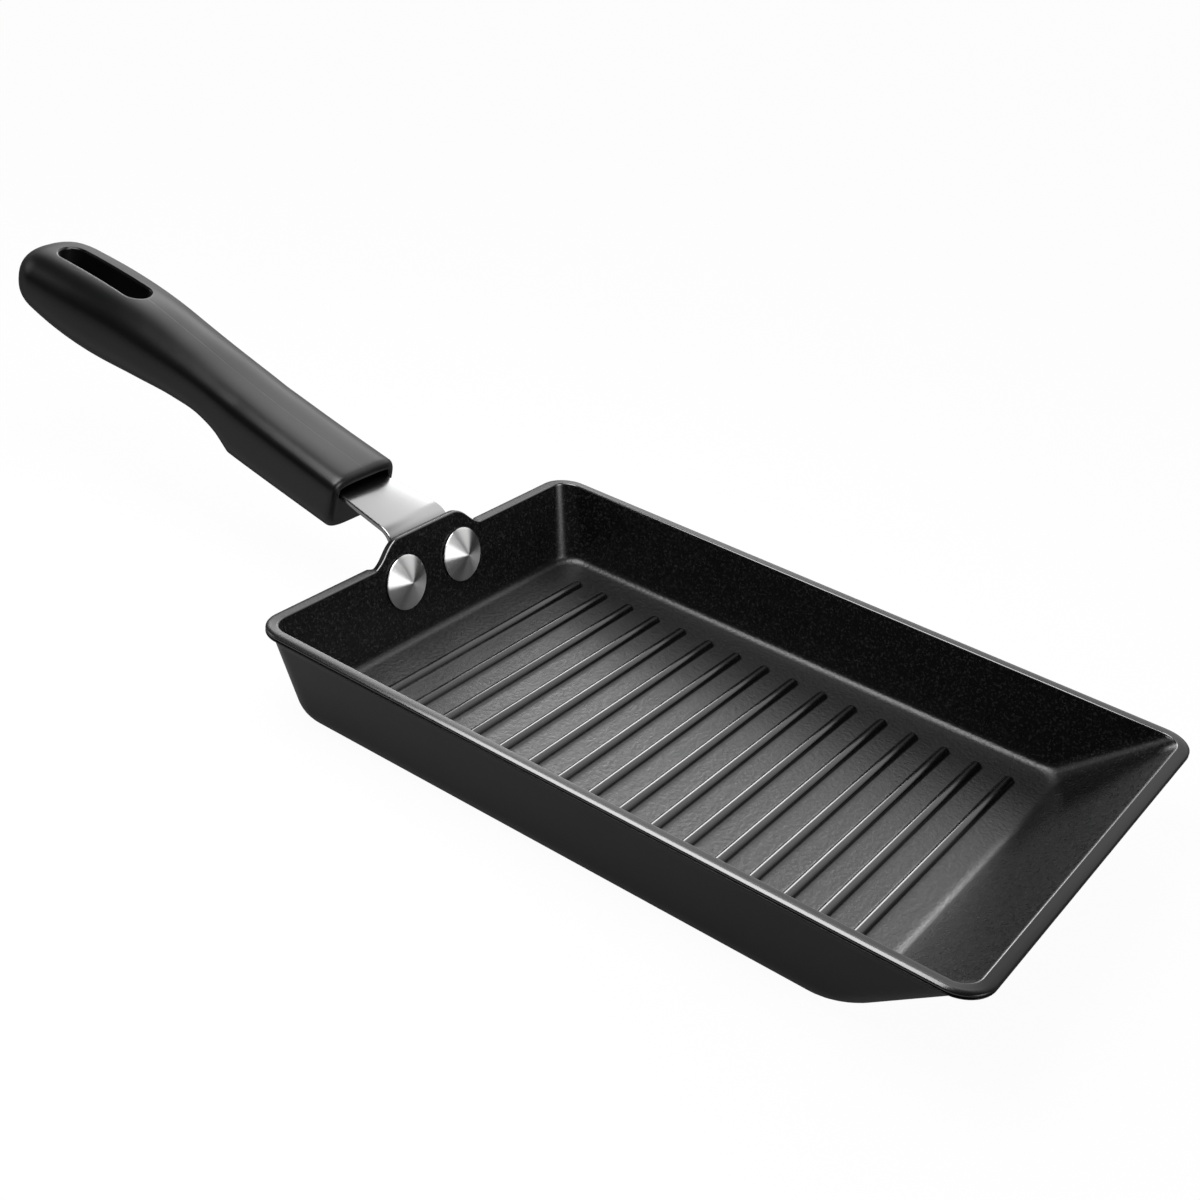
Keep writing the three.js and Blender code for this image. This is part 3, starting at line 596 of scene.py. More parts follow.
def tray_shell(plan, grid):
    """Skin from the middle of the underside, up the outside, over the rim and down to the floor's edge.

    On the handle wall the rim goes over to the tab: the lip fades, and the wall runs on up by the tab's
    height. Returns the points and, for each, how far it belongs to the coated inside, the floor, the rim and
    the rim's polished edges, which are the inner one and the outer one along the sides.
    """
    sizes = plan.sizes
    core, way = split_corners(grid.edge(), grid.ring)
    fillet = sizes.base_fillet * (1 - turn_steps(0, 90, BASE_FILLET_STEPS)[0])
    wall = np.linspace(sizes.base_fillet, plan.underside, OUTER_WALL_ROWS)
    outside = plan.outer(np.concatenate([fillet, wall[1:]]))
    middle = (outside[0, 0] + outside[0, 1]) / 2
    pole = level_ring(np.array([middle]), middle, 0, 0, 0)
    rings, tab_out, tab_up, share, outer_gloss, inner_gloss = lip_profile(plan)
    rim = ring_points(rings, core, way)
    on_wall = way[:, 0] < WELD - 1
    y = rim[..., 1]
    rise = np.where(on_wall, plan.tab(y), 0)
    plain = np.where(on_wall, ease((np.abs(y) - sizes.tab_foot) / sizes.lip_runout), 1)[..., None]
    tab = plan.on_handle_wall(tab_out[:, None], y, tab_up[:, None] + share[:, None] * rise)
    rim = tab + (rim - tab) * plain
    top = plan.depth - sizes.lip_round
    inner_fillet = sizes.floor_fillet * (1 - turn_steps(90, 0, FLOOR_FILLET_STEPS)[0])
    inner_wall = np.linspace(top, sizes.floor_fillet, INNER_WALL_ROWS)
    inner_heights = np.concatenate([top - sizes.lip_round * UNDER_EDGE, inner_wall[1:-1], inner_fillet])
    inside = ring_points(plan.inner(inner_heights), core, way)
    raised = np.clip((inner_heights - sizes.floor_fillet) / (top - sizes.floor_fillet), 0, 1)[:, None]
    lift = np.where(on_wall, plan.tab(inside[..., 1]), 0) * raised
    inside = inside + lift[..., None] * np.array([-math.sin(plan.handle_lean), 0, math.cos(plan.handle_lean)])
    points = np.concatenate([ring_points(np.concatenate([pole, outside]), core, way), rim, inside])
    outer_rows, rim_rows, inner_rows = np.zeros(1 + len(outside)), np.zeros(len(rim)), np.zeros(len(inside))
    rows = {"coated": (outer_rows, rim_rows, inner_rows + 1),
            "floor": (outer_rows, rim_rows, np.clip(1 - inner_heights / sizes.floor_fillet, 0, 1)),
            "rim": (outer_rows, rim_rows + 1, inner_rows)}
    along = np.ones(len(core) + 1)
    marks = {name: np.concatenate(parts)[:, None] * along for name, parts in rows.items()}
    marks["polish"] = np.zeros_like(marks["rim"])
    polished = outer_gloss[:, None] * way[:, 1] ** 2 + inner_gloss[:, None]
    marks["polish"][len(outer_rows):len(outer_rows) + len(rim)] = closed(polished)
    return closed(points), marks


# Strap

STRAP_STEP = 0.7 * MM
PLATE_CORNER_STEPS = 12
TONGUE_CORNER_STEPS = 8
STRAP_EDGE_STEPS = 5


class StrapPath:
    """Middle line of the strap in the XZ plane: up the handle wall, round the bend, along the tongue."""

    def __init__(self, plan, sizes, rivets):
        self.sizes = sizes
        lean = plan.handle_lean
        self.up = np.array([-math.sin(lean), math.cos(lean)])
        self.out = np.array([-math.cos(lean), -math.sin(lean)])
        self.way = np.array([-math.cos(sizes.tilt), math.sin(sizes.tilt)])
        rim = np.array([plan.rim_start, plan.sizes.height])
        self.foot = rim + self.out * (plan.sizes.wall + sizes.seat_gap + sizes.thickness / 2)
        self.plate_drop = rivets.drop + sizes.plate_margin
        self.plate_width = rivets.spacing + 2 * sizes.plate_margin
        self.turn = QUARTER - sizes.tilt - lean
        trim = sizes.bend_radius * math.tan(self.turn / 2)
        self.plate = self.plate_drop + sizes.bend_rise - trim
        self.bend = sizes.bend_radius * self.turn
        self.total = self.plate + self.bend + sizes.exposed + sizes.tongue_length - trim
        self.mouth = self.foot + self.up * sizes.bend_rise + self.way * sizes.exposed

    def at(self, along):
        """Points and directions: straight, then an arc turning outwards, then straight again."""
        radius = self.sizes.bend_radius
        along = along[:, None]
        turn = np.clip((along - self.plate) / radius, 0, self.turn)
        straight = np.maximum(0, along - self.plate - self.bend)
        way = self.up * np.cos(turn) + self.out * np.sin(turn)
        point = (self.foot - self.up * self.plate_drop + self.up * np.minimum(along, self.plate)
                 + radius * (self.out * (1 - np.cos(turn)) + self.up * np.sin(turn)) + way * straight)
        return point, way

    def half_width(self, along):
        """Plate, shoulder and taper, less what the corners at both ends take off."""
        sizes = self.sizes
        shoulder = ease((along - self.plate + sizes.shoulder) / sizes.shoulder)
        neck = (self.plate_width + (sizes.neck_width - self.plate_width) * shoulder) / 2
        taper = np.clip((along - self.plate) / (self.total - sizes.tongue_length - self.plate), 0, 1)
        width = neck + (sizes.tongue_width / 2 - neck) * taper
        plate_loss = corner_loss(along, sizes.plate_round)
        return width - plate_loss - corner_loss(self.total - along, sizes.tongue_round)


def corner_loss(distance, radius):
    """What a corner's rounding takes off the width at a distance from the end."""
    return radius - np.sqrt(radius ** 2 - np.maximum(0, radius - distance) ** 2)


def strap_surface(path):
    """Rounded-rectangle section carried along the strap, closed by a flat fan at each end."""
    sizes = path.sizes
    first = sizes.plate_round * (1 - turn_steps(0, 90, PLATE_CORNER_STEPS)[0])
    last = path.total - sizes.tongue_round * (1 - turn_steps(90, 0, TONGUE_CORNER_STEPS)[0])
    along = np.concatenate([first, np.arange(first[-1], last[0], STRAP_STEP)[1:], last])
    point, way = path.at(along)
    front = np.stack([way[:, 1], -way[:, 0]], axis=-1)
    cosine, sine = turn_steps(0, 90, STRAP_EDGE_STEPS)
    side = np.repeat([1, -1, -1, 1], len(cosine))
    face = np.repeat([1, 1, -1, -1], len(cosine))
    across = np.concatenate([cosine, -sine, -cosine, sine])
    outward = np.concatenate([sine, cosine, -sine, -cosine])
    edge = sizes.edge_round
    y = side * (path.half_width(along)[:, None] - edge) + edge * across
    lift = face * (sizes.thickness / 2 - edge) + edge * outward
    plane = point[:, None, :] + lift[None, :, None] * front[:, None, :]
    skin = np.stack([plane[..., 0], y, plane[..., 1]], axis=-1)
    poles = np.stack([point[[0, -1], 0], np.zeros(2), point[[0, -1], 1]], axis=-1)[:, None, :]
    poles = np.repeat(poles, skin.shape[1], axis=1)
    return closed(np.concatenate([poles[:1], skin, poles[1:]]))


# Rivets

RIVET_TAIL_STEPS = 10
RIVET_LOW_STEPS = 4
RIVET_HIGH_STEPS = 5
DOME_ROWS = 16
# Angle in degrees at which the dome leaves the rounded edge, and the power with which it falls off
DOME_ANGLE = 60
DOME_POWER = 1.35


def rivet_profile(sizes, strap, wall):
    """Radius and place along the axis: upset tail, shank, head with a rounded edge and a low dome.

    The dome falls off from its middle with a power of the radius.
    """
    seat = strap.seat_gap
    tail = -wall - strap.seat_gap - strap.thickness - strap.seat_gap
    edge = sizes.edge_round
    inner = sizes.head - edge
    top = seat + sizes.edge
    cosine, sine = turn_steps(90, 0, RIVET_TAIL_STEPS)
    low_cosine, low_sine = turn_steps(-90, 0, RIVET_LOW_STEPS)
    high_cosine, high_sine = turn_steps(0, DOME_ANGLE, RIVET_HIGH_STEPS)
    share = np.linspace(1, 0, DOME_ROWS)[1:]
    dome_start = inner + edge * high_cosine[-1]
    dome_base = top - edge + edge * high_sine[-1]
    dome_rise = top + sizes.dome - dome_base
    radius = np.concatenate([sizes.tail * cosine, [sizes.shank, sizes.shank], inner + edge * low_cosine,
                             inner + edge * high_cosine, dome_start * share])
    along = np.concatenate([tail - sizes.tail_height * sine, [tail, seat], seat + edge + edge * low_sine,
                            top - edge + edge * high_sine, dome_base + dome_rise * (1 - share ** DOME_POWER)])
    return radius, along


def revolve(radius, along, origin, axis, turns=96):
    """Profile turned about an axis, with UV places: once round, and along the profile in metres."""
    axis = np.asarray(axis)
    sideways = np.array([0.0, 1.0, 0.0])
    upward = np.cross(axis, sideways)
    turn = np.linspace(0, 2 * math.pi, turns + 1)
    spoke = np.cos(turn)[:, None] * sideways + np.sin(turn)[:, None] * upward
    points = origin + along[:, None, None] * axis + radius[:, None, None] * spoke
    travelled = np.concatenate([[0], np.cumsum(np.hypot(np.diff(radius), np.diff(along)))])
    uv = np.stack(np.meshgrid(travelled, turn / (2 * math.pi), indexing="ij"), axis=-1)[..., ::-1]
    return points, uv


# Grip

HOLE_EDGE_STEPS = 6
SOCKET_EDGE_STEPS = 4
MOUTH_EDGE_STEPS = 8
FACE_ROWS = 6
LEAD_ROWS = 14
BLOCK_ROWS = 14
GROOVE_ROWS = 70
TIP_ROWS = 18


class GripForm:
    """Sections of the grip along its station from the mouth, in the tongue's tilted frame."""

    # Shares of the way round half a section
    COLUMNS = np.linspace(0, 1, 65)

    def __init__(self, sizes, path):
        self.sizes = sizes
        self.tilt = path.sizes.tilt
        self.mouth = path.mouth

    def place(self, station, across, up):
        """From station, width and height in the tongue's frame to the model's frame."""
        cosine, sine = math.cos(self.tilt), math.sin(self.tilt)
        x = self.mouth[0] - station * cosine + up * sine
        z = self.mouth[1] + station * sine + up * cosine
        return np.stack(np.broadcast_arrays(x, across, z), axis=-1)

    def section(self, station):
        """Middle height, half height, half width and squareness at each station."""
        sizes = self.sizes
        share = station / sizes.length
        top = smooth_line(sizes.top_places, sizes.top, share)
        rest = (station - sizes.block) / (sizes.length - sizes.block)
        groove = smooth_line(sizes.groove_places, sizes.groove, rest)
        block = sizes.block_depth + (sizes.groove[0] - sizes.block_depth) * station / sizes.block
        bottom = -np.where(station > sizes.block, groove, block)
        width = smooth_line(sizes.width_places, sizes.half_width, share)
        square = smooth_line(sizes.square_places, sizes.square, share)
        to_tip = sizes.length - station
        loss = corner_loss(station, sizes.mouth_round)
        half = (top - bottom) / 2 * end_share(to_tip, sizes.tip_side) - loss
        return (top + bottom) / 2, half, width * end_share(to_tip, sizes.tip_plan) - loss, square

    def skin(self, station, first, last):
        """Half of each section on the +Y side, between two angles from the top.

        The section is a superellipse in polar form: at an angle, the reach is the sum of the powers of
        sine and cosine, to the power of minus one over the squareness.
        """
        middle, half, width, square = (value[:, None] for value in self.section(station))
        turn = first[:, None] + (last - first)[:, None] * self.COLUMNS
        across, up = superellipse(turn, square)
        return self.place(station[:, None], width * across, middle + half * up)

    def edge_angle(self, station, across):
        """Angle from the top at which the section has the given half width."""
        _, _, width, square = self.section(station)
        share = across / width
        return np.arctan2(share, (1 - share ** square) ** (1 / square))

    def height(self, station, across, side):
        """Height of the top (side 1) or the underside (side -1) at a distance from the middle."""
        middle, half, width, square = self.section(station)
        return middle + side * half * (1 - (across / width) ** square) ** (1 / square)


def superellipse(turn, square):
    """Unit superellipse in polar form, as width and height."""
    sine, cosine = np.sin(turn), np.cos(turn)
    reach = (np.abs(sine) ** square + np.abs(cosine) ** square) ** (-1 / square)
    return reach * sine, reach * cosine


def end_share(distance, round_length):
    """Share of the section that is left where an end is rounded over a length."""
    return np.sqrt(1 - np.maximum(0, 1 - distance / round_length) ** 2)


class Opening:
    """Half outline of a long round-ended hole along the grip: middle places, and turns from its near end."""

    def __init__(self, near, far, radius, edge, straight_steps=24, arc_steps=14):
        arc = np.linspace(0, QUARTER, arc_steps + 1)
        straight = np.linspace(near + radius, far - radius, straight_steps + 1)[1:-1]
        self.middle = np.concatenate([np.full(len(arc), near + radius), straight,
                                      np.full(len(arc), far - radius)])
        self.turn = np.concatenate([arc, np.full(len(straight), QUARTER), QUARTER + arc])
        self.radius = radius
        self.edge = edge

    def outline(self, grow):
        """Station and half width of the outline grown by a distance, or a row for each of several."""
        reach = self.radius + np.asarray(grow)[..., None]
        return self.middle - reach * np.cos(self.turn), reach * np.sin(self.turn)

    def rim(self):
        """Outline where the rounded edge meets the skin."""
        return self.outline(self.edge)


def hole_wall(form, opening, top, bottom):
    """Wall of an opening between the heights of its two rims, with both edges rounded."""
    grow, sink = rounded_edge(opening.edge, HOLE_EDGE_STEPS)
    station, across = opening.outline(np.concatenate([grow, grow[::-1]]))
    return form.place(station, across, np.concatenate([top - sink[:, None], bottom + sink[::-1, None]]))


def blind_wall(form, opening, rim, floor):
    """Wall of a round recess from its rim in the underside up to its flat floor."""
    grow, sink = rounded_edge(opening.edge, HOLE_EDGE_STEPS)
    station, across = opening.outline(np.concatenate([grow, [0, -opening.radius]]))
    heights = np.concatenate([rim + sink[:, None], np.full((2, len(rim)), floor)])
    return form.place(station, across, heights)


def mouth_face(form, path):
    """End face from the rounded outer edge in to the socket's arch, then the socket to its closed end."""
    sizes = form.sizes
    middle, half, width, square = (value[0] for value in form.section(np.zeros(1)))
    across, up = superellipse(math.pi * form.COLUMNS, square)
    outer = np.stack([width * across, middle + half * up], axis=-1)
    socket_half = path.sizes.tongue_width / 2 + sizes.socket_room
    centre = (sizes.socket_arch - sizes.socket_floor) / 2
    rise = (sizes.socket_arch + sizes.socket_floor) / 2

    def arch(grow):
        grow = np.asarray(grow)[..., None]
        return np.stack([(socket_half + grow) * across, centre + (rise + grow) * up], axis=-1)

    grow, sink = rounded_edge(sizes.socket_round, SOCKET_EDGE_STEPS)
    shares = np.linspace(0, 1, FACE_ROWS)[:-1, None, None]
    face = outer + (arch(sizes.socket_round) - outer) * shares
    depth = path.sizes.tongue_length + sizes.socket_room
    end = np.stack([arch(0), np.broadcast_to([0, centre], outer.shape)])
    rows = np.concatenate([face, arch(grow), end])
    station = np.concatenate([np.zeros(len(face)), sink, [depth, depth]])
    return form.place(station[:, None], rows[..., 0], rows[..., 1])


def grip_half(form, path):
    """Surfaces of the grip's +Y half (skin, mouth, slot wall and counterbore), and the gloss of each.

    The skin is laid in stretches along the grip: stations, then first and last angle from the top. Beside
    the slot both angles keep clear of it, and beside the counterbore the last one does. Gloss is the root of
    a sine over each rounded edge of the slot, so it is none where that edge meets the skin and the wall.
    """
    sizes = form.sizes
    slot_end = sizes.length - sizes.slot_margin
    slot = Opening(slot_end - sizes.slot_length, slot_end, sizes.slot_width / 2, sizes.slot_round)
    bore = Opening(sizes.screw_station - sizes.bore, sizes.screw_station + sizes.bore,
                   sizes.bore, sizes.bore_round, straight_steps=0)
    slot_station, slot_across = slot.rim()
    bore_station, bore_across = bore.rim()
    slot_angle = form.edge_angle(slot_station, slot_across)
    bore_angle = form.edge_angle(bore_station, bore_across)
    tip_start = sizes.length - sizes.tip_plan
    tip_turn = np.arcsin(np.clip((slot_station[-1] - tip_start) / sizes.tip_plan, 0, 1))
    tip = tip_start + sizes.tip_plan * np.sin(np.linspace(tip_turn, QUARTER, TIP_ROWS))
    stretches = (
        (rounded_edge(sizes.mouth_round, MOUTH_EDGE_STEPS)[1], 0, math.pi),
        (np.linspace(sizes.mouth_round, bore_station[0], LEAD_ROWS)[1:-1], 0, math.pi),
        (bore_station, 0, math.pi - bore_angle),
        (np.linspace(bore_station[-1], sizes.block, BLOCK_ROWS)[1:], 0, math.pi),
        (np.linspace(sizes.block, slot_station[0], GROOVE_ROWS)[1:-1], 0, math.pi),
        (slot_station, slot_angle, math.pi - slot_angle),
        (tip[1:], 0, math.pi),
    )
    rows = [np.stack(np.broadcast_arrays(*stretch)) for stretch in stretches]
    skin = form.skin(*np.concatenate(rows, axis=1))
    slot_wall = hole_wall(form, slot, form.height(slot_station, slot_across, 1),
                          form.height(slot_station, slot_across, -1))
    bore_wall = blind_wall(form, bore, form.height(bore_station, bore_across, -1), -sizes.bore_floor)
    edge_gloss = np.sin(np.linspace(0, math.pi, HOLE_EDGE_STEPS + 1)) ** 0.5
    slot_gloss = np.tile(edge_gloss, 2)[:, None]
    parts = ((skin, 0), (mouth_face(form, path), 0), (slot_wall, slot_gloss), (bore_wall, 0))
    gloss = [np.zeros(patch.shape[:2]) + level for patch, level in parts]
    return [patch for patch, _ in parts], gloss


# Finishes

RISING = (0.0, 1.0)
FALLING = (1.0, 0.0)
# Spans of a noise over which a finish changes, from steep to slow
NOISE_SPAN = (0.3, 0.7)
CLOUD_SPAN = (0.25, 0.75)
GRAIN_SPAN = (0.2, 0.8)
NOISE_MIDDLE = 0.5
# Facing values over which a surface counts as seen at a grazing angle
GRAZING_SPAN = (0.4, 0.7)
# Roughness, where a pair goes with a noise
OUTSIDE_ROUGHNESS = (0.31, 0.37)
RIM_ROUGHNESS = 0.32
RIM_EDGE_ROUGHNESS = 0.2
RIM_GRAZING_ROUGHNESS = 0.6
WALL_ROUGHNESS = (0.26, 0.31)
FLOOR_ROUGHNESS = (0.38, 0.48)
RIB_ROUGHNESS = 0.18
STEEL_ROUGHNESS = (0.18, 0.2)
RIVET_ROUGHNESS = (0.32, 0.38)
MOULDING_ROUGHNESS = (0.29, 0.34)
MOULDING_GRAZING_ROUGHNESS = 0.62
SLOT_EDGE_ROUGHNESS = 0.2
ZINC_ROUGHNESS = (0.28, 0.42)
# Strength of the coating's reflections
OUTSIDE_TINT = 0.34
RIM_TINT = 0.1
RIM_EDGE_TINT = 1.0
WALL_TINT = 0.27
FLOOR_TINT = 0.56
RIB_TINT = 0.5
# Squiggles: width of a line in the first noise, their patches in the second, and what the floor loses
SQUIGGLE_LINE = (0.03, 0.085)
SQUIGGLE_PATCH = (0.5, 0.6)
SQUIGGLE_LOSS = 0.7
# Grip's seam: half widths of its bottom and its top, and the grain's depth as a share of the seam's
SEAM_SPAN = (0.06 * MM, 0.2 * MM)
SEAM_DEPTH = (-1.0, 0.0)
GRAIN_DEPTH = 0.1


class NodeTree:
    """Adds shader nodes to a tree, with inputs given as values or as other nodes' outputs."""

    def __init__(self, tree):
        self.nodes = tree.nodes
        self.links = tree.links

    def add(self, kind, inputs=(), **settings):
        """A node with its settings and inputs."""
        node = self.nodes.new("ShaderNode" + kind)
        for name, value in settings.items():
            setattr(node, name, value)
        for socket, value in dict(inputs).items():
            self.feed(node.inputs[socket], value)
        return node

    def feed(self, socket, value):
        if isinstance(value, bpy.types.NodeSocket):
            self.links.new(value, socket)
        else:
            socket.default_value = value

    def noise(self, vector, scale, detail=2.0, roughness=0.5):
        node = self.add("TexNoise", {"Vector": vector, "Scale": scale, "Detail": detail,
                                     "Roughness": roughness})
        return node.outputs["Fac"]

    def math(self, operation, first, second):
        return self.add("Math", {0: first, 1: second}, operation=operation).outputs[0]

    def remap(self, value, span, to):
        """Smooth step from one number to another while a value goes through a span."""
        node = self.add("MapRange", {"Value": value, "From Min": span[0], "From Max": span[1],
                                     "To Min": to[0], "To Max": to[1]}, interpolation_type="SMOOTHSTEP")
        return node.outputs["Result"]

    def weigh(self, share, first, second):
        """Number between two numbers."""
        return self.add("Mix", {"Factor": share, 2: first, 3: second}, data_type="FLOAT").outputs[0]

    def blend(self, share, first, second):
        """Colour between two colours."""
        node = self.add("Mix", {"Factor": share}, data_type="RGBA")
        self.feed(node.inputs[6], first)
        self.feed(node.inputs[7], second)
        return node.outputs[2]


class Finish(NodeTree):
    """A material and its nodes. Constants go straight onto the shader's sockets."""

    def __init__(self, name, constants):
        self.material = bpy.data.materials.new(name)
        self.material.use_nodes = True
        super().__init__(self.material.node_tree)
        self.shader = self.nodes["Principled BSDF"]
        for socket, value in constants.items():
            self.shader.inputs[socket].default_value = value

    def place(self):
        return self.add("TexCoord").outputs["Object"]

    def mark(self, name):
        return self.add("Attribute", attribute_name=name).outputs["Fac"]

    def shade(self, socket, value):
        self.feed(self.shader.inputs[socket], value)

    def mottle(self, pattern, rgb, tone):
        """Base colour that goes with a pattern from a colour to its darker or paler tone."""
        self.shade("Base Color", self.blend(pattern, solid(rgb), solid(rgb, tone)))

    def dulled(self, roughness, grazing):
        """Roughness that goes over to another where the surface is seen at a grazing angle."""
        facing = self.add("LayerWeight", {"Blend": 0.5}).outputs["Facing"]
        return self.weigh(self.remap(facing, GRAZING_SPAN, RISING), roughness, grazing)

    def bump(self, height, distance, strength):
        node = self.add("Bump", {"Height": height, "Distance": distance, "Strength": strength})
        self.shade("Normal", node.outputs["Normal"])


def solid(rgb, tone=1.0):
    """Opaque colour, with its levels times a tone."""
    return (*(level * tone for level in rgb), 1.0)


def coating_finish(colours):
    """Cast coating: orange-peel floor, walls with pale squiggles, glossier ribs and rim edges, satin outside.

    The squiggles are level lines of a noise, kept where a second, finer noise is high, and faint on the
    floor.
    """
    finish = Finish("cast_coating", {"IOR": 2.2})
    place = finish.place()
    coated, floor, rib, rim, polish = map(finish.mark, ("coated", "floor", "rib", "rim", "polish"))
    peel = finish.noise(place, scale=760.0, detail=3.0, roughness=0.55)
    cloud = finish.noise(place, scale=35.0, detail=3.0)
    level = finish.math("SUBTRACT", finish.noise(place, scale=900.0, detail=1.0), NOISE_MIDDLE)
    line = finish.remap(finish.math("ABSOLUTE", level, 0.0), SQUIGGLE_LINE, FALLING)
    patch = finish.remap(finish.noise(place, scale=1300.0, detail=1.0), SQUIGGLE_PATCH, RISING)
    walls = finish.math("SUBTRACT", coated, finish.math("MULTIPLY", floor, SQUIGGLE_LOSS))
    squiggle = finish.math("MULTIPLY", finish.math("MULTIPLY", line, patch), walls)
    ground = finish.blend(coated, solid(colours.enamel), solid(colours.coating))
    finish.shade("Base Color", finish.blend(squiggle, ground, solid(colours.fleck)))
    rim_rough = finish.dulled(finish.weigh(polish, RIM_ROUGHNESS, RIM_EDGE_ROUGHNESS), RIM_GRAZING_ROUGHNESS)
    outside_rough = finish.weigh(rim, finish.remap(cloud, NOISE_SPAN, OUTSIDE_ROUGHNESS), rim_rough)
    floor_rough = finish.weigh(rib, finish.remap(peel, NOISE_SPAN, FLOOR_ROUGHNESS), RIB_ROUGHNESS)
    inside_rough = finish.weigh(floor, finish.remap(peel, NOISE_SPAN, WALL_ROUGHNESS), floor_rough)
    finish.shade("Roughness", finish.weigh(coated, outside_rough, inside_rough))
    outside_tint = finish.weigh(rim, OUTSIDE_TINT, finish.weigh(polish, RIM_TINT, RIM_EDGE_TINT))
    inside_tint = finish.weigh(floor, WALL_TINT, finish.weigh(rib, FLOOR_TINT, RIB_TINT))
    finish.shade("Specular Tint", finish.weigh(coated, outside_tint, inside_tint))
    flat_floor = finish.math("SUBTRACT", floor, rib)
    finish.bump(finish.math("MULTIPLY", peel, flat_floor), distance=0.3 * MM, strength=0.7)
    return finish.material


def steel_finish(colours):
    """Polished steel strap with very fine lines along its length."""
    finish = Finish("strap_steel", {"Metallic": 1.0})
    stretched = finish.add("Mapping", {"Vector": finish.place(), "Scale": (40.0, 2600.0, 40.0)})
    lines = finish.noise(stretched.outputs["Vector"], scale=1.0, detail=3.0, roughness=0.6)
    finish.mottle(lines, colours.steel, tone=0.985)
    finish.shade("Roughness", finish.remap(lines, GRAIN_SPAN, STEEL_ROUGHNESS))
    return finish.material


def rivet_finish(colours):
    """Spun rivet metal: fine rings round the axis, with highlights drawn out across them."""
    finish = Finish("rivet_metal", {"Metallic": 1.0, "Anisotropic": 0.9, "Anisotropic Rotation": 0.25})
    uv = finish.add("UVMap", uv_map="UVMap").outputs["UV"]
    rings = finish.add("Mapping", {"Vector": uv, "Scale": (0.0, 9000.0, 0.0)}).outputs["Vector"]
    grain = finish.noise(rings, scale=1.0, detail=4.0, roughness=0.7)
    finish.mottle(grain, colours.rivet, tone=0.9)
    finish.shade("Roughness", finish.remap(grain, GRAIN_SPAN, RIVET_ROUGHNESS))
    finish.shade("Tangent", finish.add("Tangent", direction_type="UV_MAP", uv_map="UVMap").outputs["Tangent"])
    finish.bump(grain, distance=0.004 * MM, strength=0.3)
    return finish.material


def moulding_finish(colours):
    """Satin black moulding: faint grain, uneven gloss, glossy slot edges and a fine seam along its middle."""
    finish = Finish("grip_moulding", {"IOR": 1.55})
    place = finish.place()
    grain = finish.noise(place, scale=2600.0, detail=2.0)
    clouds = finish.noise(place, scale=45.0, detail=3.0)
    finish.mottle(clouds, colours.moulding, tone=1.35)
    satin = finish.dulled(finish.remap(clouds, CLOUD_SPAN, MOULDING_ROUGHNESS), MOULDING_GRAZING_ROUGHNESS)
    finish.shade("Roughness", finish.weigh(finish.mark("gloss"), satin, SLOT_EDGE_ROUGHNESS))
    side = finish.math("ABSOLUTE", finish.add("SeparateXYZ", {0: place}).outputs["Y"], 0.0)
    seam = finish.remap(side, SEAM_SPAN, SEAM_DEPTH)
    height = finish.math("ADD", finish.math("MULTIPLY", grain, GRAIN_DEPTH), seam)
    finish.bump(height, distance=0.04 * MM, strength=0.5)
    return finish.material


def plated_finish(colours):
    """Zinc-plated fastener with cloudy gloss."""
    finish = Finish("plated_fastener", {"Metallic": 1.0})
    clouds = finish.noise(finish.place(), scale=700.0, detail=4.0, roughness=0.6)
    finish.mottle(clouds, colours.zinc, tone=0.8)
    finish.shade("Roughness", finish.remap(clouds, NOISE_SPAN, ZINC_ROUGHNESS))
    finish.bump(clouds, distance=0.01 * MM, strength=0.3)
    return finish.material


def dress(piece, material, slot, *nodes):
    """Give a piece its material, and let it stand for solid nodes by hiding them. The slot is not used."""
    piece.data.materials.append(material)
    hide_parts(*nodes)


# Stage

FLOOR_REACH = 6.0
FLOOR_GREY = (0.26, 0.26, 0.26, 1)
FLOOR_GLOW = 1.12
# Shares of the floor's glow that the camera and reflections see
CAMERA_SHARE = 0.86
GLOSSY_SHARE = 0.08
WHITE = (1, 1, 1, 1)
SENSOR_WIDTH = 36
# Windows of light: start and end of the rise, then of the fall, in degrees of azimuth and of elevation
WINDOWS = {
    "back_light": ((-70, -5, 38, 66), (2, 14, 44, 64)),
    "low_strip": ((24, 36, 50, 66), (10, 17, 24, 32)),
    "right_light": ((-108, -95, -82, -70), (0, 6, 20, 40)),
    "left_light": ((85, 98, 116, 130), (8, 20, 36, 46)),
}


def make_floor():
    """Plain pale floor: white to the camera and partly in reflections, keeping some shade for the shadow."""
    reach = FLOOR_REACH
    corners = [(-reach, -reach, 0), (reach, -reach, 0), (reach, reach, 0), (-reach, reach, 0)]
    mesh = bpy.data.meshes.new("floor")
    mesh.from_pydata(corners, [], [(0, 1, 2, 3)])
    floor = bpy.data.objects.new("floor", mesh)
    bpy.context.scene.collection.objects.link(floor)
    finish = Finish("floor_white", {"Base Color": FLOOR_GREY, "Roughness": 0.9, "Specular IOR Level": 0})
    glow = finish.add("Emission", {"Strength": FLOOR_GLOW}).outputs[0]
    path = finish.add("LightPath").outputs
    seen = finish.math("ADD", finish.math("MULTIPLY", path["Is Camera Ray"], CAMERA_SHARE),
                       finish.math("MULTIPLY", path["Is Glossy Ray"], GLOSSY_SHARE))
    mixed = finish.add("MixShader", {0: seen, 1: finish.shader.outputs[0], 2: glow}).outputs[0]
    finish.links.new(mixed, finish.nodes["Material Output"].inputs["Surface"])
    mesh.materials.append(finish.material)


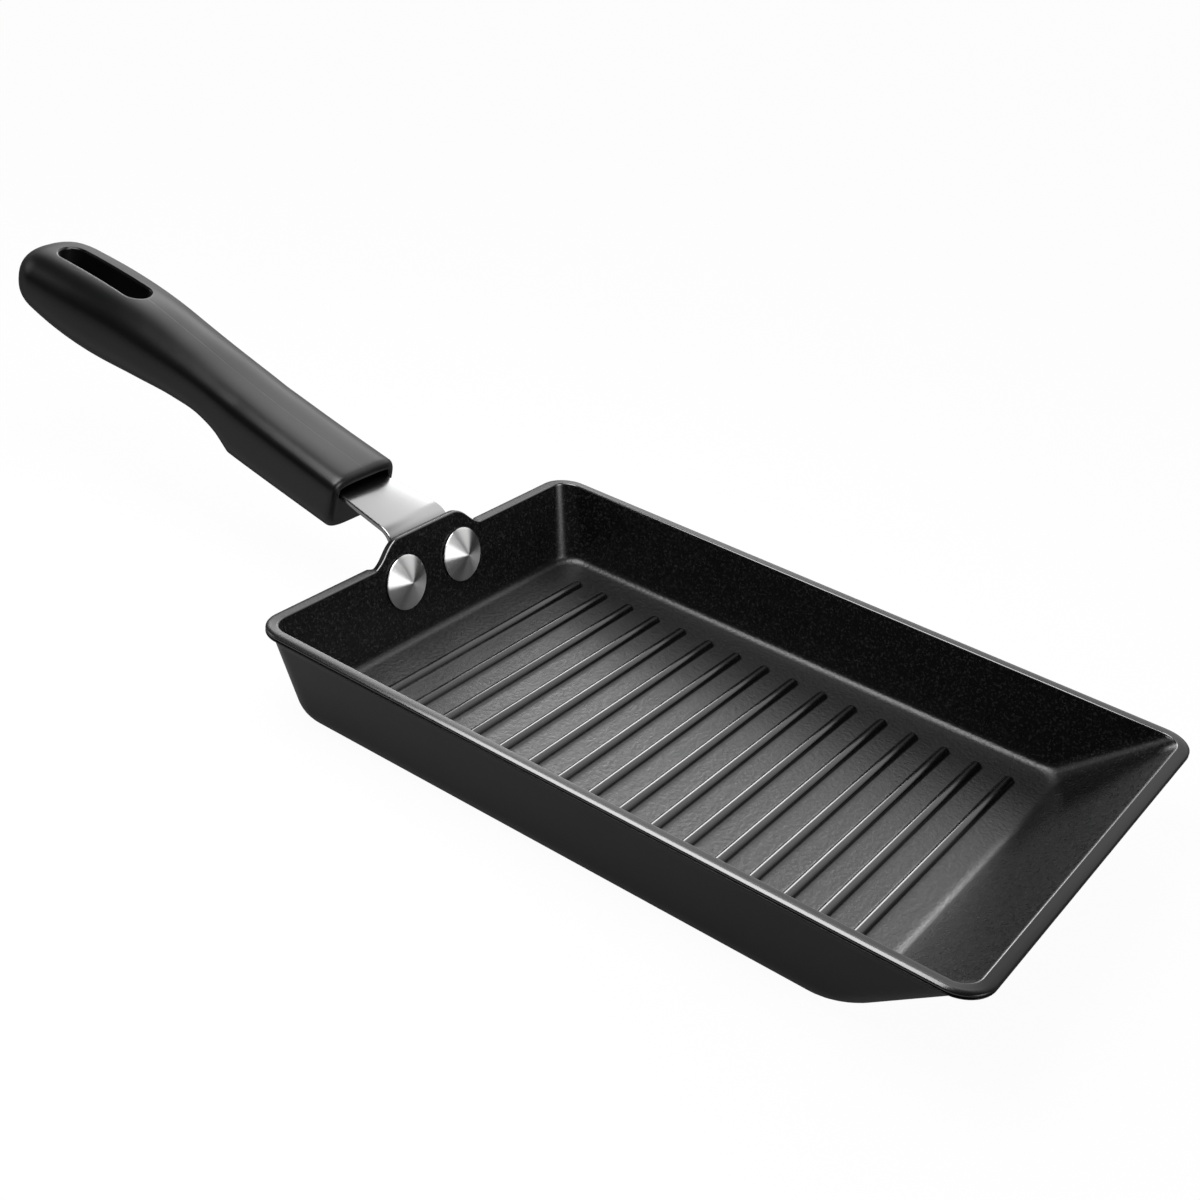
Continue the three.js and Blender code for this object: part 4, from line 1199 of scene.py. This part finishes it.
def make_sky(scene, settings):
    """Studio light as soft windows of direction; the camera itself sees plain white.

    A window is the product of smooth steps in azimuth (from +Y towards -X) and in elevation.
    """
    world = bpy.data.worlds.new("studio")
    world.use_nodes = True
    scene.world = world
    sky = NodeTree(world.node_tree)
    axes = sky.add("SeparateXYZ", {0: sky.add("TexCoord").outputs["Generated"]}).outputs
    azimuth = sky.math("ARCTAN2", sky.math("MULTIPLY", axes["X"], -1.0), axes["Y"])
    elevation = sky.math("ARCSINE", axes["Z"], 0.0)

    def window(value, degrees):
        marks = [math.radians(mark) for mark in degrees]
        return sky.math("MULTIPLY", sky.remap(value, marks[:2], RISING), sky.remap(value, marks[2:], FALLING))

    total = settings.ambient
    for name, (across, upward) in WINDOWS.items():
        opened = sky.math("MULTIPLY", window(azimuth, across), window(elevation, upward))
        total = sky.math("ADD", sky.math("MULTIPLY", opened, getattr(settings, name)), total)
    ground = sky.nodes["Background"]
    sky.feed(ground.inputs["Color"], WHITE)
    sky.feed(ground.inputs["Strength"], total)
    white = sky.add("Background", {"Color": WHITE, "Strength": 1.0}).outputs[0]
    seen = sky.add("LightPath").outputs["Is Camera Ray"]
    mixed = sky.add("MixShader", {0: seen, 1: ground.outputs[0], 2: white}).outputs[0]
    sky.feed(sky.nodes["World Output"].inputs["Surface"], mixed)


def make_strip(settings):
    """Strip lamp level above the pan; its power is brightness times area times pi."""
    light = bpy.data.lights.new("overhead_strip", "AREA")
    light.shape = "RECTANGLE"
    light.size, light.size_y = settings.overhead_size
    light.energy = settings.overhead * light.size * light.size_y * math.pi
    lamp = bpy.data.objects.new("overhead_strip", light)
    lamp.location = settings.overhead_place
    lamp.visible_camera = False
    bpy.context.scene.collection.objects.link(lamp)


def make_camera(scene, settings):
    """Camera at the photograph's angle, from azimuth, elevation and roll."""
    azimuth, elevation, roll = settings.azimuth, settings.elevation, settings.roll
    back = Vector((math.sin(azimuth) * math.cos(elevation), -math.cos(azimuth) * math.cos(elevation),
                   math.sin(elevation)))
    right = Vector((math.cos(azimuth), math.sin(azimuth), 0))
    up = back.cross(right)
    axes = Matrix((math.cos(roll) * right + math.sin(roll) * up,
                   math.cos(roll) * up - math.sin(roll) * right, back)).transposed()
    data = bpy.data.cameras.new("camera")
    data.sensor_width = SENSOR_WIDTH
    data.lens = settings.lens
    camera = bpy.data.objects.new("camera", data)
    camera.matrix_world = Matrix.Translation(Vector(settings.place)) @ axes.to_4x4()
    scene.collection.objects.link(camera)
    scene.camera = camera


# Operators

def layout(scene):
    """The tray's plan and the strap's path from the scene's sizes."""
    plan = TrayPlan(scene.grill_tray)
    return plan, StrapPath(plan, scene.grill_strap, scene.grill_rivet)


class GRILL_OT_tray(bpy.types.Operator):
    """Build the cast tray with its ribs, rim and tab"""
    bl_idname = "grill.tray"
    bl_label = "Tray"

    def execute(self, context):
        plan, _ = layout(context.scene)
        ribs = context.scene.grill_rib
        grid = FloorGrid(plan, ribs)
        shell, marks = tray_shell(plan, grid)
        marks["rib"] = np.zeros_like(marks["rim"])
        floor = tray_floor(plan, ribs, grid)
        full = [np.ones(patch.shape[:2]) for patch in floor]
        none = [np.zeros(patch.shape[:2]) for patch in floor]
        steep = GLOSS_SLOPE / (ribs.radius - ribs.sink)
        risen = [np.clip(steep * (patch[..., 2] - plan.sizes.base), 0, 1) for patch in floor]
        floor_marks = {"coated": full, "floor": full, "rim": none, "polish": none, "rib": risen}
        values = {name: [marks[name]] + grids for name, grids in floor_marks.items()}
        piece = make_piece("tray", [shell] + floor, values)
        dress(piece, coating_finish(context.scene.grill_finish), "cast_coating", "pan_body")
        return {"FINISHED"}


class GRILL_OT_strap(bpy.types.Operator):
    """Build the bent strap between tray and grip"""
    bl_idname = "grill.strap"
    bl_label = "Strap"

    def execute(self, context):
        _, path = layout(context.scene)
        piece = make_piece("strap", [strap_surface(path)])
        dress(piece, steel_finish(context.scene.grill_finish), "strap_steel", "handle_bracket")
        return {"FINISHED"}


class GRILL_OT_rivets(bpy.types.Operator):
    """Build the two rivets through the handle wall"""
    bl_idname = "grill.rivets"
    bl_label = "Rivets"

    def execute(self, context):
        scene = context.scene
        plan, _ = layout(scene)
        sizes = scene.grill_rivet
        radius, along = rivet_profile(sizes, scene.grill_strap, scene.grill_tray.wall)
        axis = (math.cos(plan.handle_lean), 0, math.sin(plan.handle_lean))
        material = rivet_finish(scene.grill_finish)
        for side, name in ((-1, "rivet_left"), (1, "rivet_right")):
            origin = plan.on_handle_wall(0.0, side * sizes.spacing / 2, -sizes.drop)
            points, uv = revolve(radius, along, origin, axis)
            dress(make_piece("head_" + name, [points], uv=[uv]), material, "rivet_metal", name)
        return {"FINISHED"}


class GRILL_OT_grip(bpy.types.Operator):
    """Build the moulded grip with its socket, slot and counterbore"""
    bl_idname = "grill.grip"
    bl_label = "Grip"

    def execute(self, context):
        _, path = layout(context.scene)
        half, gloss = grip_half(GripForm(context.scene.grill_grip, path), path)
        mirrored = [patch[:, ::-1] * [1, -1, 1] for patch in half]
        piece = make_piece("grip", half + mirrored, {"gloss": gloss + [mark[:, ::-1] for mark in gloss]})
        dress(piece, moulding_finish(context.scene.grill_finish), "grip_moulding", "handle_grip")
        return {"FINISHED"}


class GRILL_OT_fasteners(bpy.types.Operator):
    """Finish the screw, washer and nut that hold the grip"""
    bl_idname = "grill.fasteners"
    bl_label = "Fasteners"

    def execute(self, context):
        material = plated_finish(context.scene.grill_finish)
        for name in ("grip_screw", "screw_washer", "tongue_nut"):
            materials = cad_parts[name].data.materials
            materials.clear()
            materials.append(material)
        return {"FINISHED"}


class GRILL_OT_stage(bpy.types.Operator):
    """Set up the floor, the light and the camera"""
    bl_idname = "grill.stage"
    bl_label = "Stage"

    def execute(self, context):
        scene = context.scene
        settings = scene.grill_stage
        scene.view_settings.view_transform = "Standard"
        make_floor()
        make_sky(scene, settings)
        make_strip(settings)
        make_camera(scene, settings)
        return {"FINISHED"}


# Panel and registration

class GRILL_PT_panel(bpy.types.Panel):
    """Lists the steps that build the grill pan"""
    bl_label = "Grill Pan"
    bl_idname = "GRILL_PT_panel"
    bl_space_type = "VIEW_3D"
    bl_region_type = "UI"
    bl_category = "Grill Pan"

    def draw(self, context):
        for step in STEPS:
            self.layout.operator(step.bl_idname)


SETTINGS = {
    "grill_tray": TraySizes,
    "grill_rib": RibSizes,
    "grill_rivet": RivetSizes,
    "grill_strap": StrapSizes,
    "grill_grip": GripSizes,
    "grill_finish": FinishColours,
    "grill_stage": StageSettings,
}
STEPS = (GRILL_OT_tray, GRILL_OT_strap, GRILL_OT_rivets, GRILL_OT_grip, GRILL_OT_fasteners, GRILL_OT_stage)


def register():
    for group in SETTINGS.values():
        bpy.utils.register_class(group)
    for name, group in SETTINGS.items():
        setattr(bpy.types.Scene, name, PointerProperty(type=group))
    for item in STEPS + (GRILL_PT_panel,):
        bpy.utils.register_class(item)


def unregister():
    for item in reversed(STEPS + (GRILL_PT_panel,)):
        bpy.utils.unregister_class(item)
    for name in SETTINGS:
        delattr(bpy.types.Scene, name)
    for group in SETTINGS.values():
        bpy.utils.unregister_class(group)


def main():
    register()
    bpy.ops.grill.tray()
    bpy.ops.grill.strap()
    bpy.ops.grill.rivets()
    bpy.ops.grill.grip()
    bpy.ops.grill.fasteners()
    bpy.ops.grill.stage()


if __name__ == "__main__":
    main()
